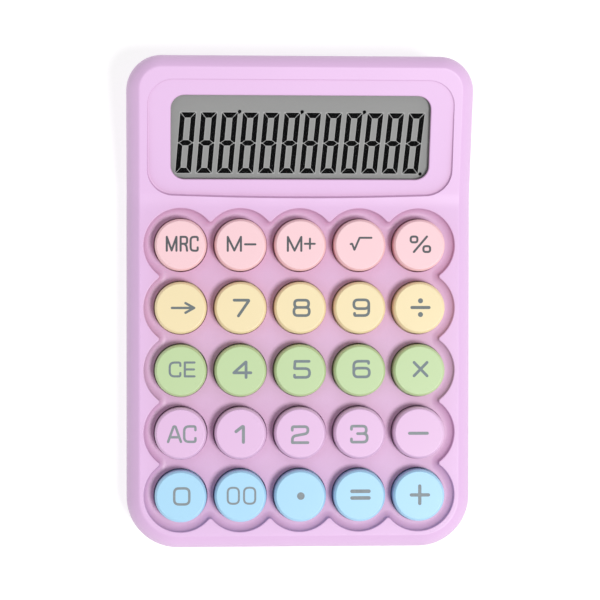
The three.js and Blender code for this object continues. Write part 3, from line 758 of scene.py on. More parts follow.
# Each sign in a unit square: open or closed lines, with a third number where a corner is round.
signs = {
    "0": [(True, [(0, 0, 1), (1, 0, 1), (1, 1, 1), (0, 1, 1)])],
    "1": [(False, [(0, 0.68), (0.86, 1, 0.1), (1, 1, 0.1), (1, 0)])],
    "2": [
        (False, [(0, 0.78), (0, 1, 1), (1, 1, 1), (1, 0.58, 1), (0.02, 0.4, 1), (0, 0, 0.1), (1, 0)]),
    ],
    "3": [
        (False, [(0, 0.8), (0, 1, 1), (0.97, 1, 1), (0.97, 0.53, 1), (0.4, 0.53)]),
        (False, [(0.4, 0.53), (1.03, 0.53, 1), (1.03, 0, 1), (0, 0, 1), (0, 0.2)]),
    ],
    "4": [(False, [(0.72, 0), (0.72, 1, 0.1), (0, 0.3)]), (False, [(0, 0.3), (1, 0.3)])],
    "5": [
        (False, [(0.97, 1), (0.03, 1, 0.1), (0, 0.55, 0.1), (1, 0.55, 1), (1, 0, 1), (0, 0, 1),
                 (0, 0.14)]),
    ],
    "6": [
        (True, [(0, 0, 1), (1, 0, 1), (1, 0.56, 1), (0, 0.56, 1)]),
        (False, [(0, 0.3), (0, 1, 1), (0.95, 1, 1), (0.95, 0.86)]),
    ],
    "7": [(False, [(0, 1), (1, 1, 0.3), (0.28, 0)])],
    "8": [
        (True, [(0.04, 0.53, 0.8), (0.96, 0.53, 0.8), (0.96, 1, 0.8), (0.04, 1, 0.8)]),
        (True, [(0, 0, 0.8), (1, 0, 0.8), (1, 0.53, 0.8), (0, 0.53, 0.8)]),
    ],
    "9": [
        (True, [(0, 0.44, 1), (1, 0.44, 1), (1, 1, 1), (0, 1, 1)]),
        (False, [(1, 0.7), (1, 0, 1), (0.05, 0, 1), (0.05, 0.14)]),
    ],
    "A": [
        (False, [(0, 0), (0.43, 1, 0.2), (0.57, 1, 0.2), (1, 0)]),
        (False, [(0.16, 0.3), (0.84, 0.3)]),
    ],
    "C": [(False, [(1, 0.76), (1, 1, 1), (0, 1, 1), (0, 0, 1), (1, 0, 1), (1, 0.24)])],
    "E": [(False, [(1, 1), (0, 1), (0, 0), (1, 0)]), (False, [(0, 0.5), (0.95, 0.5)])],
    "M": [(False, [(0, 0), (0, 1), (0.5, 0.02), (1, 1), (1, 0)])],
    "R": [
        (False, [(0, 0), (0, 1), (1, 1, 0.5), (1, 0.5, 0.5), (0, 0.5)]),
        (False, [(0.55, 0.5), (0.9, 0.36, 0.5), (1, 0)]),
    ],
    "square": [(True, [(0, 0, 0.5), (1, 0, 0.5), (1, 1, 0.5), (0, 1, 0.5)])],
    "bar": [(False, [(0, 0), (1, 0)])],
    "stem": [(False, [(0, 0), (0, 1)])],
    "rising": [(False, [(0, 0), (1, 1)])],
    "falling": [(False, [(0, 1), (1, 0)])],
    "head": [(False, [(0, 1), (1, 0.5), (0, 0)])],
    "root": [(False, [(0, 0.48), (0.07, 0.52, 0.1), (0.18, 0, 0.1), (0.43, 1, 0.1), (1, 1)])],
    "dot": [(False, [(0, 0), (0.001, 0)])],
}
# For each key: the signs on it, as (sign, left, low, width, height, thickness of line) in mm.
legends = {
    "memory_recall": [("M", -4.4, -1.8, 3.0, 4.3, 0.58), ("R", -0.1, -1.8, 2.0, 4.3, 0.58),
                      ("C", 3.0, -1.8, 2.2, 4.3, 0.58)],
    "memory_minus": [("M", -4.1, -1.8, 4.1, 4.3, 0.58), ("bar", 1.3, 0.2, 3.2, 0, 0.58)],
    "memory_plus": [("M", -4.0, -1.8, 4.2, 4.3, 0.58), ("bar", 1.3, 0.4, 3.1, 0, 0.55),
                    ("stem", 2.9, -1.1, 1, 3.1, 0.55)],
    "root": [("root", -3.0, -1.5, 6.5, 3.8, 0.55)],
    "percent": [("square", -2.8, 0.9, 2.1, 1.8, 0.6), ("square", 1.2, -2.1, 2.1, 1.8, 0.6),
                ("rising", -1.8, -2.1, 4.1, 4.8, 0.6)],
    "backspace": [("bar", -2.8, 0, 6.5, 0, 0.66), ("head", 1.4, -1.5, 2.7, 3.0, 0.66)],
    "7": [("7", -2.1, -2.5, 4.7, 4.9, 0.78)],
    "8": [("8", -2.1, -2.4, 4.8, 4.8, 0.75)],
    "9": [("9", -2.0, -2.4, 4.7, 4.9, 0.75)],
    "divide": [("bar", -2.4, 0.1, 5.4, 0, 0.85), ("dot", 0.3, 2.2, 1, 1, 1.4),
               ("dot", 0.3, -2.1, 1, 1, 1.4)],
    "clear_entry": [("C", -3.5, -1.7, 3.3, 4.3, 0.6), ("E", 1.2, -1.7, 3.0, 4.3, 0.6)],
    "4": [("4", -2.2, -2.1, 5.3, 4.9, 0.78)],
    "5": [("5", -1.9, -2.1, 4.7, 5.0, 0.75)],
    "6": [("6", -2.0, -2.0, 4.9, 4.9, 0.75)],
    "multiply": [("rising", -1.7, -1.7, 4.1, 4.2, 0.78), ("falling", -1.7, -1.7, 4.1, 4.2, 0.78)],
    "all_clear": [("A", -4.0, -2.5, 4.0, 4.8, 0.68), ("C", 1.0, -2.5, 3.5, 4.8, 0.68)],
    "1": [("1", -1.5, -2.7, 2.3, 4.9, 0.85)],
    "2": [("2", -2.6, -2.9, 4.9, 5.0, 0.76)],
    "3": [("3", -2.7, -2.8, 4.8, 5.0, 0.76)],
    "subtract": [("bar", -3.1, -0.1, 5.6, 0, 0.85)],
    "0": [("0", -2.1, -2.4, 4.7, 5.0, 0.68)],
    "00": [("0", -4.1, -2.3, 3.5, 5.0, 0.55), ("0", 1.0, -2.3, 3.5, 5.0, 0.55)],
    "point": [("dot", 0.1, 0, 1, 1, 2.1)],
    "equals": [("bar", -2.5, 1.4, 5.3, 0, 1.0), ("bar", -2.5, -0.7, 5.3, 0, 1.0)],
    "add": [("bar", -2.5, 0.15, 5.4, 0, 0.92), ("stem", 0.15, -2.55, 1, 5.5, 0.92)],
}
corner_r = 1.5 * mm  # the signs' largest corner
ink_depth = 0.1 * mm
ink_height = 0.025 * mm
ink_spread = 1.14  # the printed lines come out this much wider
print_shift = 0.08  # in mm: the print sits a little to the right on every key
# The third colour of each row is painted light on the caps' sides and chamfers: brighter, and on some
# rows more saturated, to make up for the shade and bounce light there.
row_finishes = [
    ("pink_keys", (0.79, 0.525, 0.562), (0.88, 0.49, 0.49), (0.055, 0.062, 0.070)),
    ("yellow_keys", (0.755, 0.635, 0.38), (0.88, 0.67, 0.39), (0.110, 0.135, 0.140)),
    ("green_keys", (0.44, 0.575, 0.305), (0.50, 0.60, 0.31), (0.140, 0.180, 0.200)),
    ("lilac_keys", (0.648, 0.42, 0.643), (0.70, 0.48, 0.66), (0.200, 0.230, 0.245)),
    ("blue_keys", (0.332, 0.587, 0.775), (0.38, 0.59, 0.82), (0.190, 0.225, 0.245)),
]
for names, places, (slot_name, colour, deep, ink_colour) in zip(row_names, key_places, row_finishes):
    paler = tuple(min(0.95, 1.06 * c + 0.01) for c in colour)
    satin = finish_of(
        "satin_" + slot_name, colour, paler, 0.34,
        clouds=(90.0, 0.03), grain=(3200.0, 0.07, 0.008), wear_and_highlight=(0.35, 0.3), painted_side_light=deep,
    )
    ink = finish_of(
        "ink_on_" + slot_name, ink_colour, tuple(2 * c for c in ink_colour), 0.55,
        clouds=(1400.0, 0.5), grain=(5000.0, 0.12, 0.004), wear_and_highlight=(0.08, 0.4),
    )
    for name, at in zip(names, places):
        cap = smooth(turned("cap_" + name, at.x, at.y, cap_profile, painted_side_light=96), 40)
        dress(cap, satin, slot_name, "cap_" + name, "key_" + name)
        strokes = []
        for sign, left, low, width, height, thickness in legends[name]:
            for closed, points in signs[sign]:
                placed_points = [
                    (
                        at.x + (print_shift + left + x * width) * mm,
                        at.y + (low + y * height) * mm,
                        *(r * corner_r for r in radius),
                    )
                    for x, y, *radius in points
                ]
                strokes.append((closed, placed_points, ink_spread * thickness * mm))
        legend = ink_print("legend_" + name, strokes, key_top - ink_depth, key_top + ink_height)
        smooth(legend, 40)
        dress(legend, ink, slot_name, "cap_" + name)

# ---- Display ---------------------------------------------------------------
# From the front: a clear acrylic lens in the case's pocket, the liquid-crystal cell with its
# twelve digits, and behind it a foil reflector and a white holder screwed to two posts. An
# amber film joins the cell to the board.
lens_top = -window_skin - joint
lens_thickness = 0.7 * mm
pane_outline = rounded_box(lens_half_x, -lens_half_v, lens_half_v, 1.0 * mm, 1.0 * mm)
pane_break = 0.12 * mm


def pane(name, outline, low, high):
    """A flat sheet with its edges broken, in the display's plane."""
    levels = [(pane_break, low), (0.0, low + pane_break), (0.0, high - pane_break), (pane_break, high)]
    return loft(name, [ring(outline, inset, w) for inset, w in levels], display)


lens = smooth(pane("lens_pane", pane_outline, lens_top - lens_thickness, lens_top))
clear = finish_of(
    "clear_acrylic", (0.04, 0.043, 0.046), (0.1, 0.1, 0.1), 0.06,
    clouds=(30.0, 0.02), grain=(900.0, 0.03, 0.0005), wear_and_highlight=(0.1, 0.2), IOR=1.49, Alpha=0.02,
)
dress(lens, clear, "lens", "case", "display_lens")

glass_top = lens_top - lens_thickness - joint
glass_thickness = 1.8 * mm
glass = smooth(pane("liquid_crystal_cell", pane_outline, glass_top - glass_thickness, glass_top))
cell_grey = finish_of(
    "liquid_crystal_grey", (0.285, 0.287, 0.283), (0.36, 0.36, 0.36), 0.22,
    clouds=(25.0, 0.03), grain=(2600.0, 0.05, 0.003), wear_and_highlight=(0.3, 0.3), Specular_IOR_Level=0.15,
)
dress(glass, cell_grey, "liquid_crystal", "case", "lcd_glass")

digit_pitch = 6.48 * mm
digit_count = 12
digit_half_x = 2.45 * mm
digit_half_v = 9.75 * mm
digit_v = -2.17 * mm  # the row of digits sits a little below the window's middle
digit_lean = 0.079  # the digits lean to the right
upright = 1.52 * mm  # thickness of the upright segments
level = 1.7 * mm  # thickness of the level segments
split = 0.10 * mm  # half of the gap between two segments
segment_tip = 0.22 * mm  # a segment's outer corners are cut off by this much
waist_x = 0.3 * mm  # and a side segment's corner at the digit's waist by this much
waist_v = 0.2 * mm
bar_end = 0.42 * mm  # the middle bar's points stay this far inside the digit's sides
bar_slack = 0.08 * mm
digits_shift = 0.12 * mm  # the row of digits sits a little left of the window's middle
digits_x = [(i - (digit_count - 1) / 2) * digit_pitch - digits_shift for i in range(digit_count)]


def leaning(x, points, height):
    """Points of a digit at x, leaned over, at a height over the glass."""
    return [
        Vector((x + px + digit_lean * pv, digit_v + pv, glass_top + height)) for px, pv in points
    ]


def segments():
    """The seven segments of one digit, anticlockwise, as points round its middle."""
    w, h, tip = digit_half_x, digit_half_v, segment_tip
    in_x, in_v = w - upright, h - level
    top = [(in_x - split, in_v), (w - split - tip, h - tip / 2), (w - split - 1.6 * tip, h)]
    top += [(-x, v) for x, v in reversed(top)]
    side_top = [
        (w, split + waist_v),
        (w, h - split - tip),
        (w - tip / 2, h - split - tip / 2),
        (in_x, in_v - split),
        (in_x, level / 2 + split),
        (w - waist_x, split),
    ]
    bar = [(w - bar_end - split, 0), (in_x - bar_slack, level / 2)]
    bar += [(-x, v) for x, v in reversed(bar)]
    bar += [(x, -v) for x, v in reversed(bar[1:-1])]
    side_low = [(x, -v) for x, v in reversed(side_top)]
    left_top = [(-x, v) for x, v in reversed(side_top)]
    left_low = [(-x, -v) for x, v in side_top]
    low = [(-x, -v) for x, v in top]
    return [top, side_top, side_low, low, left_low, left_top, bar]


def halo_cells():
    """Corners, and the squares on them that cover a digit's segments with a margin and leave
    its two middles open."""
    margin = 0.22 * mm
    w, h = digit_half_x + margin, digit_half_v + margin
    in_x, in_v = digit_half_x - upright - margin, digit_half_v - level - margin
    mid = level / 2 + margin
    columns = [-w, -in_x, in_x, w]
    rows = [-h, -in_v, -mid, mid, in_v, h]
    across = len(columns)
    starts = [i * across + j for i in range(len(rows) - 1) for j in range(across - 1)]
    open_middles = (across + 1, 3 * across + 1)
    squares = [
        [k, k + 1, k + 1 + across, k + across] for k in starts if k not in open_middles
    ]
    return [(x, v) for v in rows for x in columns], squares


halo_height = 0.012 * mm
digit_height = 0.03 * mm
halo_mesh = bmesh.new()
halo_corners, halo_squares = halo_cells()
for digit_x in digits_x:
    under = [halo_mesh.verts.new(p) for p in leaning(digit_x, halo_corners, -halo_height)]
    over = [halo_mesh.verts.new(p) for p in leaning(digit_x, halo_corners, halo_height)]
    slab(halo_mesh, under, over, halo_squares)
halo = shown("digit_halos", halo_mesh, display)
halo_grey = finish_of(
    "halo_grey", (0.375, 0.377, 0.373), (0.42, 0.42, 0.42), 0.25,
    clouds=(200.0, 0.03), grain=(2600.0, 0.05, 0.002), wear_and_highlight=(0.05, 0.1), Specular_IOR_Level=0.15,
)
dress(halo, halo_grey, "liquid_crystal", "case")

digit_mesh = bmesh.new()


def add_prism(points_low, points_high):
    """One flat-topped solid in the digits' mesh."""
    low = [digit_mesh.verts.new(p) for p in points_low]
    high = [digit_mesh.verts.new(p) for p in points_high]
    for i in range(len(low)):
        j = (i + 1) % len(low)
        digit_mesh.faces.new((low[i], low[j], high[j], high[i]))
    digit_mesh.faces.new(list(reversed(low)))
    digit_mesh.faces.new(high)


dot_r = 0.56 * mm
drop_tail = (-0.25 * mm, -0.85 * mm)
drop_off = (0.5 * mm, 0.3 * mm)  # from a digit's top corner to the raised mark after it
dot_off = (0.75 * mm, 0.05 * mm)  # from the last digit's low corner out and down to the point
drop = [(dot_r * math.cos(a), dot_r * math.sin(a)) for a in
        [math.radians(-60 + 240 * i / 12) for i in range(13)]]
drop.append(drop_tail)
drop_places = [
    (digits_x[i] + digit_half_x + drop_off[0], digit_half_v + drop_off[1]) for i in (2, 5, 8)
]
dot_place = (digits_x[-1] + digit_half_x + dot_off[0], -digit_half_v - dot_off[1])
dot = [(dot_r * math.cos(a), dot_r * math.sin(a)) for a in
       [2 * math.pi * i / 16 for i in range(16)]]
for digit_x in digits_x:
    for segment in segments():
        add_prism(
            leaning(digit_x, segment, -digit_height), leaning(digit_x, segment, digit_height)
        )
for (mark_x, mark_v), shape in [*((at, drop) for at in drop_places), (dot_place, dot)]:
    moved = [(x, v + mark_v) for x, v in shape]
    add_prism(leaning(mark_x, moved, -digit_height), leaning(mark_x, moved, digit_height))
bmesh.ops.recalc_face_normals(digit_mesh, faces=digit_mesh.faces[:])
digits = shown("digits", digit_mesh, display)
crystal_black = finish_of(
    "crystal_black", (0.002, 0.002, 0.0022), (0.003, 0.003, 0.003), 0.6,
    clouds=(300.0, 0.3), grain=(2600.0, 0.05, 0.002), wear_and_highlight=(0.05, 0.02), Specular_IOR_Level=0.02,
)
dress(digits, crystal_black, "liquid_crystal", "case")


def finish_kept(name, finish):
    """A piece whose CAD shape is already right only takes its finish."""
    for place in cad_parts[name].material_slots:
        place.material = finish


finish_kept("lcd_reflector", finish_of(
    "brushed_foil", (0.72, 0.73, 0.75), (0.85, 0.86, 0.87), 0.22,
    clouds=(400.0, 0.1), grain=(1200.0, 0.1, 0.004), wear_and_highlight=(0.2, 0.3), Metallic=1.0,
))
finish_kept("lcd_holder", finish_of(
    "white_holder", (0.74, 0.74, 0.73), (0.85, 0.85, 0.85), 0.5,
    clouds=(80.0, 0.04), grain=(1800.0, 0.1, 0.02), wear_and_highlight=(0.4, 0.4),
))
finish_kept("lcd_flex", finish_of(
    "amber_film", (0.52, 0.20, 0.035), (0.66, 0.36, 0.12), 0.28,
    clouds=(120.0, 0.1), grain=(900.0, 0.08, 0.003), wear_and_highlight=(0.1, 0.3),
))

# ---- Dome mat and circuit board ------------------------------------------------
# A moulded silicone mat lies on a green epoxy board, with a hollow dome under each key that
# gives way as its key goes down and pushes it up again. The board carries the chip under a
# blob of black resin and one small capacitor.
mat_low, mat_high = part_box("dome_mat")
mat_top = mat_low.z + 1.0 * mm
mat_corner_r = 1.5 * mm
dome_r = 4.6 * mm
dome_skin = 0.7 * mm
dome_crown_r = 3.0 * mm
crown_round = 0.5 * mm
mat_outline = rounded_box(mat_high.x, mat_low.y, mat_high.y, mat_corner_r, mat_corner_r)
mat_edge = 0.2 * mm
mat = loft("mat_sheet", [
    ring(mat_outline, 0.0, mat_low.z),
    ring(mat_outline, 0.0, mat_top - mat_edge),
    ring(mat_outline, mat_edge, mat_top),
])
mat_openings = [(at, dome_r - dome_skin) for row in key_places for at in row]
mat_openings += [(at, short_post_r + 2 * joint) for at in board_screws]
mat_holes = [
    turned("mat_hole", at.x, at.y, [(r, mat_low.z - mat_edge), (r, mat_top + mat_edge)], painted_side_light=40)
    for at, r in mat_openings
]
work(mat, "DIFFERENCE", mat_holes)
smooth(mat)
silicone = finish_of(
    "milky_silicone", (0.62, 0.63, 0.64), (0.72, 0.73, 0.74), 0.62,
    clouds=(70.0, 0.06), grain=(1600.0, 0.1, 0.02), wear_and_highlight=(0.5, 0.3), Subsurface_Weight=0.2,
)
dress(mat, silicone, "silicone", "case", "dome_mat")
crown = mat_high.z
dome_profile = [(centre_r, crown - dome_skin), (dome_crown_r - dome_skin, crown - dome_skin)]
dome_profile += bend(
    (dome_crown_r - dome_skin, crown - dome_skin),
    (dome_crown_r, crown - dome_skin - 0.3 * mm),
    (dome_r - dome_skin, mat_top), 6)[1:]
dome_profile += [(dome_r, mat_top)]
dome_profile += bend(
    (dome_r, mat_top + 0.15 * mm), (dome_crown_r + 0.9 * mm, mat_top + 0.6 * mm),
    (dome_crown_r + 0.1 * mm, crown - crown_round), 6)
dome_profile += bend(
    (dome_crown_r, crown - 0.6 * crown_round), (dome_crown_r, crown),
    (dome_crown_r - crown_round, crown), 4)
dome_profile += [(centre_r, crown)]
for names, places in zip(row_names, key_places):
    for name, at in zip(names, places):
        dome = smooth(turned("dome_" + name, at.x, at.y, dome_profile, painted_side_light=40), 50)
        dress(dome, silicone, "silicone", "case", "dome_mat")
        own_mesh(dome)
finish_kept("circuit_board", finish_of(
    "green_epoxy", (0.035, 0.155, 0.062), (0.16, 0.28, 0.14), 0.32,
    clouds=(90.0, 0.25), grain=(700.0, 0.12, 0.02), wear_and_highlight=(0.4, 0.7), Coat_Weight=0.4,
))
finish_kept("chip_resin", finish_of(
    "black_resin", (0.012, 0.012, 0.013), (0.05, 0.05, 0.05), 0.26,
    clouds=(200.0, 0.2), grain=(500.0, 0.1, 0.03), wear_and_highlight=(0.3, 0.3),
))
finish_kept("capacitor", finish_of(
    "tan_ceramic", (0.38, 0.22, 0.10), (0.55, 0.38, 0.22), 0.45,
    clouds=(600.0, 0.15), grain=(1500.0, 0.1, 0.02), wear_and_highlight=(0.2, 0.5),
))

# ---- Cell, contacts and wires --------------------------------------------------
# One small round cell lies across the back between a flat tinned contact and a coil spring.
# A red and a black wire run from the two contacts forward to the board.
cell_low, cell_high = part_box("battery")
cell_middle = middle("battery")
cell_r = cell_high.z - cell_middle.z
nub_r = 1.9 * mm
nub_length = 1.0 * mm
across = Matrix.Translation(cell_middle) @ Matrix.Rotation(math.pi / 2, 4, "Y")
cell_end = (cell_high.x - cell_low.x) / 2
can_round = 0.7 * mm
cap_step = 0.1 * mm  # the can's closed end is this much slimmer
nub_round = 0.3 * mm
shoulder = cell_end - nub_length
# The rolled groove below the shoulder: in from the can's side and down from the shoulder, in mm.
rolled_groove = [(0.0, 2.4), (0.35, 2.0), (0.35, 1.6), (0.1, 1.2)]
cell_profile = [(3.6 * mm, -cell_end), (cell_r - can_round, -cell_end)]
cell_profile += bend(
    (cell_r - can_round, -cell_end), (cell_r, -cell_end), (cell_r, -cell_end + can_round), 5
)[1:]
cell_profile += [(cell_r - inward * mm, shoulder - down * mm) for inward, down in rolled_groove]
cell_profile += bend(
    (cell_r - cap_step, shoulder - 0.6 * mm),
    (cell_r - cap_step, shoulder),
    (cell_r - cap_step - can_round, shoulder),
    5,
)
cell_profile += [(nub_r + 0.2 * mm, shoulder)]
cell_profile += bend(
    (nub_r, cell_end - nub_round), (nub_r, cell_end), (nub_r - nub_round, cell_end), 4
)
cell = smooth(turned("cell", 0, 0, cell_profile, across, 72))
cell_can = finish_of(
    "cell_wrap", (0.16, 0.19, 0.24), (0.45, 0.46, 0.48), 0.25,
    clouds=(90.0, 0.1), grain=(1200.0, 0.1, 0.004), wear_and_highlight=(0.25, 0.8), Metallic=0.6,
)
dress(cell, cell_can, "cell", "case", "battery")


def tube(name, points, r, painted_side_light=20):
    """A round wire along smooth points, with flat ends."""
    rings = []
    side = Vector((0.0, 0.0, 1.0))
    for i, here in enumerate(points):
        along = (points[min(i + 1, len(points) - 1)] - points[max(i - 1, 0)]).normalized()
        side = (side - side.dot(along) * along).normalized()
        other = along.cross(side)
        rings.append([
            here + r * (math.cos(2 * math.pi * k / painted_side_light) * side
                        + math.sin(2 * math.pi * k / painted_side_light) * other)
            for k in range(painted_side_light)
        ])
    return loft(name, rings)


def through(stops, steps=8):
    """A smooth line of points that passes through every stop."""
    made = []
    ends = [2 * stops[0] - stops[1], *stops, 2 * stops[-1] - stops[-2]]
    for a, b, c, d in zip(ends, ends[1:], ends[2:], ends[3:]):
        for i in range(steps):
            t = i / steps
            made.append(0.5 * (2 * b + (c - a) * t + (2 * a - 5 * b + 4 * c - d) * t * t
                               + (3 * b - a - 3 * c + d) * t ** 3))
    return made + [stops[-1]]


tin = finish_of(
    "tinned_steel", (0.60, 0.60, 0.61), (0.78, 0.78, 0.79), 0.28,
    clouds=(700.0, 0.12), grain=(2200.0, 0.12, 0.008), wear_and_highlight=(0.15, 0.5), Metallic=1.0,
)
spring_low, spring_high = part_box("battery_spring")
spring_wire = 0.4 * mm
plate_thickness = 0.5 * mm
coil_start = spring_low.x + plate_thickness - 0.5 * spring_wire
coil_end = spring_high.x - spring_wire
coil_turns = 3
coil_steps = 108
coil_foot_r = 3.0 * mm
coil_tip_r = 1.8 * mm
coil_points = []
for i in range(coil_steps + 1):
    wound = i / coil_steps
    coil_r = coil_foot_r + (coil_tip_r - coil_foot_r) * wound
    angle = coil_turns * 2 * math.pi * wound
    coil_points.append(Vector((
        coil_start + (coil_end - coil_start) * wound,
        cell_middle.y + coil_r * math.cos(angle),
        cell_middle.z + coil_r * math.sin(angle),
    )))
coil = tube("spring_coil", coil_points, spring_wire, 16)
contact_low, contact_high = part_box("battery_contact")
plates = []
for low, high in ((contact_low, contact_high), (spring_low, spring_high)):
    flat_low = Vector((low.x, contact_low.y, contact_low.z))
    flat_high = Vector((low.x + plate_thickness, contact_high.y, contact_high.z))
    plate = block("contact_plate", flat_low, flat_high)
    edge = plate.modifiers.new("edge", "BEVEL")
    edge.width = 0.15 * mm
    edge.segments = 2
    plates.append(plate)
dress(smooth(plates[0], 60), tin, "contacts", "case", "battery_contact")
plates[1].name = "spring_plate"
dress(smooth(plates[1], 60), tin, "contacts", "case", "battery_spring")
dress(smooth(coil, 60), tin, "contacts", "case")
wire_r = 0.6 * mm
wire_stops = [(29.45, 59, 7.55), (29.45, 51, 6.05), (22.75, 44, 5.5), (16.75, 36, 4.4),
              (14.75, 31, 4.6), (14.75, 29, 6.3)]
for name, side, colour, paler in (
    ("wire_red", 1, (0.60, 0.02, 0.02), (0.75, 0.12, 0.10)),
    ("wire_black", -1, (0.02, 0.02, 0.02), (0.09, 0.09, 0.09)),
):
    stops = [Vector((side * x, y, z)) * mm for x, y, z in wire_stops]
    wire = smooth(tube("sleeve_" + name, through(stops), wire_r), 60)
    sleeve = finish_of(
        "sleeve_on_" + name, colour, paler, 0.4,
        clouds=(500.0, 0.08), grain=(900.0, 0.08, 0.006), wear_and_highlight=(0.2, 0.3),
    )
    dress(wire, sleeve, name.replace("wire_", "") + "_wire", "case", name)

# ---- Bottom case -------------------------------------------------------------
# The lower half is the same lilac ABS: a shallow tub with a rounded base edge, a lip that
# plugs into the top case, bosses for six screws, a bay for one small cell and four round
# recesses for the feet. It goes on last and is screwed up into the top case's posts.
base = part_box("bottom_case")[0].z
inner_floor = base + wall
base_edge = 3.0 * mm
base_edge_height = 6.5 * mm
base_border = 0.5 * mm  # a flat border inside the rounded edge keeps its shading even
lip_inset = wall + joint
inside_inset = lip_inset + 1.0 * mm
tub_outline = rounded_box(half_width, front, back, front_corner_r, back_corner_r)


def tub_levels():
    """The tub's outside from its underside up: a quarter of an ellipse, then straight."""
    levels = [(base_edge + base_border, base)]
    levels += [
        (base_edge * (1 - math.sin(a)), base + base_edge_height * (1 - math.cos(a)))
        for a in quarter
    ]
    return levels + [(0.0, parting - skirt_break), (skirt_break, parting)]


def tub_shell(name):
    """The tub's walls and floor, hollowed out."""
    whole = loft(name, [ring(tub_outline, inset, z) for inset, z in tub_levels()])
    hollow = loft("hollow", [
        ring(tub_outline, inside_inset, inner_floor),
        ring(tub_outline, inside_inset, lip_top + past),
    ])
    return work(whole, "DIFFERENCE", [hollow])


tub = tub_shell("bottom_case_tub")
lip = loft("lip", [
    ring(tub_outline, lip_inset, parting - weld),
    ring(tub_outline, lip_inset, lip_top - skirt_break),
    ring(tub_outline, lip_inset + skirt_break, lip_top),
])
lip_inside = loft("lip_inside", [
    ring(tub_outline, inside_inset, inner_floor),
    ring(tub_outline, inside_inset, lip_top + past),
])
work(lip, "DIFFERENCE", [lip_inside])
boss_r = 3.6 * mm
bosses = [
    turned("boss", at.x, at.y, [(boss_r, base + weld), (boss_r, post_low - joint)], painted_side_light=40)
    for at in case_screws
]
boss_room = loft("boss_room", [
    ring(tub_outline, lip_inset, inner_floor - wall / 2),
    ring(tub_outline, lip_inset, lip_top),
])
work(bosses[0], "UNION", bosses[1:])
work(bosses[0], "INTERSECT", [boss_room])
door_low, door_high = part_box("battery_door")
door_half_x = door_high.x - 1.2 * mm  # without the tongues along its sides
door_top = door_high.z
rib = 1.5 * mm
bay_half_x = door_half_x + 1.0 * mm
bay_front = cell_middle.y - cell_r - 2 * joint - rib
bay_top = cell_middle.z + 3.0 * mm
front_rib_top = cell_middle.z + 1.0 * mm
rib_root = inner_floor - 0.2 * mm
seat_top = inner_floor + 0.6 * mm + rib  # the rails that carry the door's tongues
ribs = [
    block("rib", (-bay_half_x, bay_front, rib_root),
          (bay_half_x, bay_front + rib, front_rib_top)),
]
for side in (-1, 1):
    rib_x = sorted((side * bay_half_x, side * (bay_half_x + rib)))
    seat_x = sorted((side * (door_half_x + joint), side * (door_high.x + joint + rib)))
    ribs.append(block("rib", (rib_x[0], bay_front, rib_root),
                      (rib_x[1], cell_middle.y + cell_r, bay_top)))
    ribs.append(block("rib", (seat_x[0], door_low.y, rib_root),
                      (seat_x[1], back - inside_inset, seat_top)))
work(tub, "UNION", [lip, bosses[0], *ribs])
tongue_z = inner_floor - 0.5 * mm
tongue_half = 0.6 * mm
openings = [
    block("door_opening", (-door_half_x - joint, door_low.y - joint, base - past),
          (door_half_x + joint, back + past, door_top + joint)),
    block("grooves", (-door_high.x - joint, door_low.y - joint, tongue_z - tongue_half - joint),
          (door_high.x + joint, back + past, tongue_z + tongue_half + joint)),
]
head_r = 2.5 * mm
head_seat = base + 2.6 * mm
sink = 0.35 * mm  # a small countersink round each screw well
for at in case_screws:
    openings.append(turned("clearance", at.x, at.y, [
        (pilot_r + 0.1 * mm, 0), (pilot_r + 0.1 * mm, parting)], painted_side_light=32))
    openings.append(turned("screw_well", at.x, at.y, [
        (head_r + joint + sink, base - past),
        (head_r + joint + sink, base),
        (head_r + joint, base + sink),
        (head_r + joint, head_seat),
    ], painted_side_light=48))
foot_names = ["front_left", "front_right", "back_left", "back_right"]
feet = [middle("foot_" + name) for name in foot_names]
foot_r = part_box("foot_front_left")[1].x - feet[0].x
foot_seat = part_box("foot_front_left")[1].z
for at in feet:
    openings.append(turned("foot_recess", at.x, at.y, [
        (foot_r + joint, base - past), (foot_r + joint, foot_seat + joint)]))
work(tub, "DIFFERENCE", openings)
smooth(tub)
dress(tub, lilac_shell, "case", "case", "bottom_case")

# ---- Feet ---------------------------------------------------------------
# Four soft grey-lilac rubber discs, glued into the recesses of the bottom case.
foot_rubber = finish_of(
    "foot_rubber", (0.52, 0.47, 0.53), (0.62, 0.58, 0.63), 0.78,
    clouds=(250.0, 0.12), grain=(1500.0, 0.15, 0.04), wear_and_highlight=(0.4, 0.5),
)
foot_round = 0.5 * mm
foot_dish = 0.25 * mm  # a foot stands on its rim, and its middle is hollowed by this much
foot_profile = [
    (0.6 * mm, foot_dish),
    (foot_r - 2.0 * mm, foot_dish),
    (foot_r - 1.6 * mm, 0.0),
    (foot_r - foot_round, 0.0),
]
foot_profile += bend((foot_r - foot_round, 0.0), (foot_r, 0.0), (foot_r, foot_round), 5)[1:]
foot_profile.append((foot_r, foot_seat))
for at, name in zip(feet, foot_names):
    foot = smooth(turned("pad_" + name, at.x, at.y, foot_profile), 40)
    dress(foot, foot_rubber, "feet", "case", "foot_" + name)

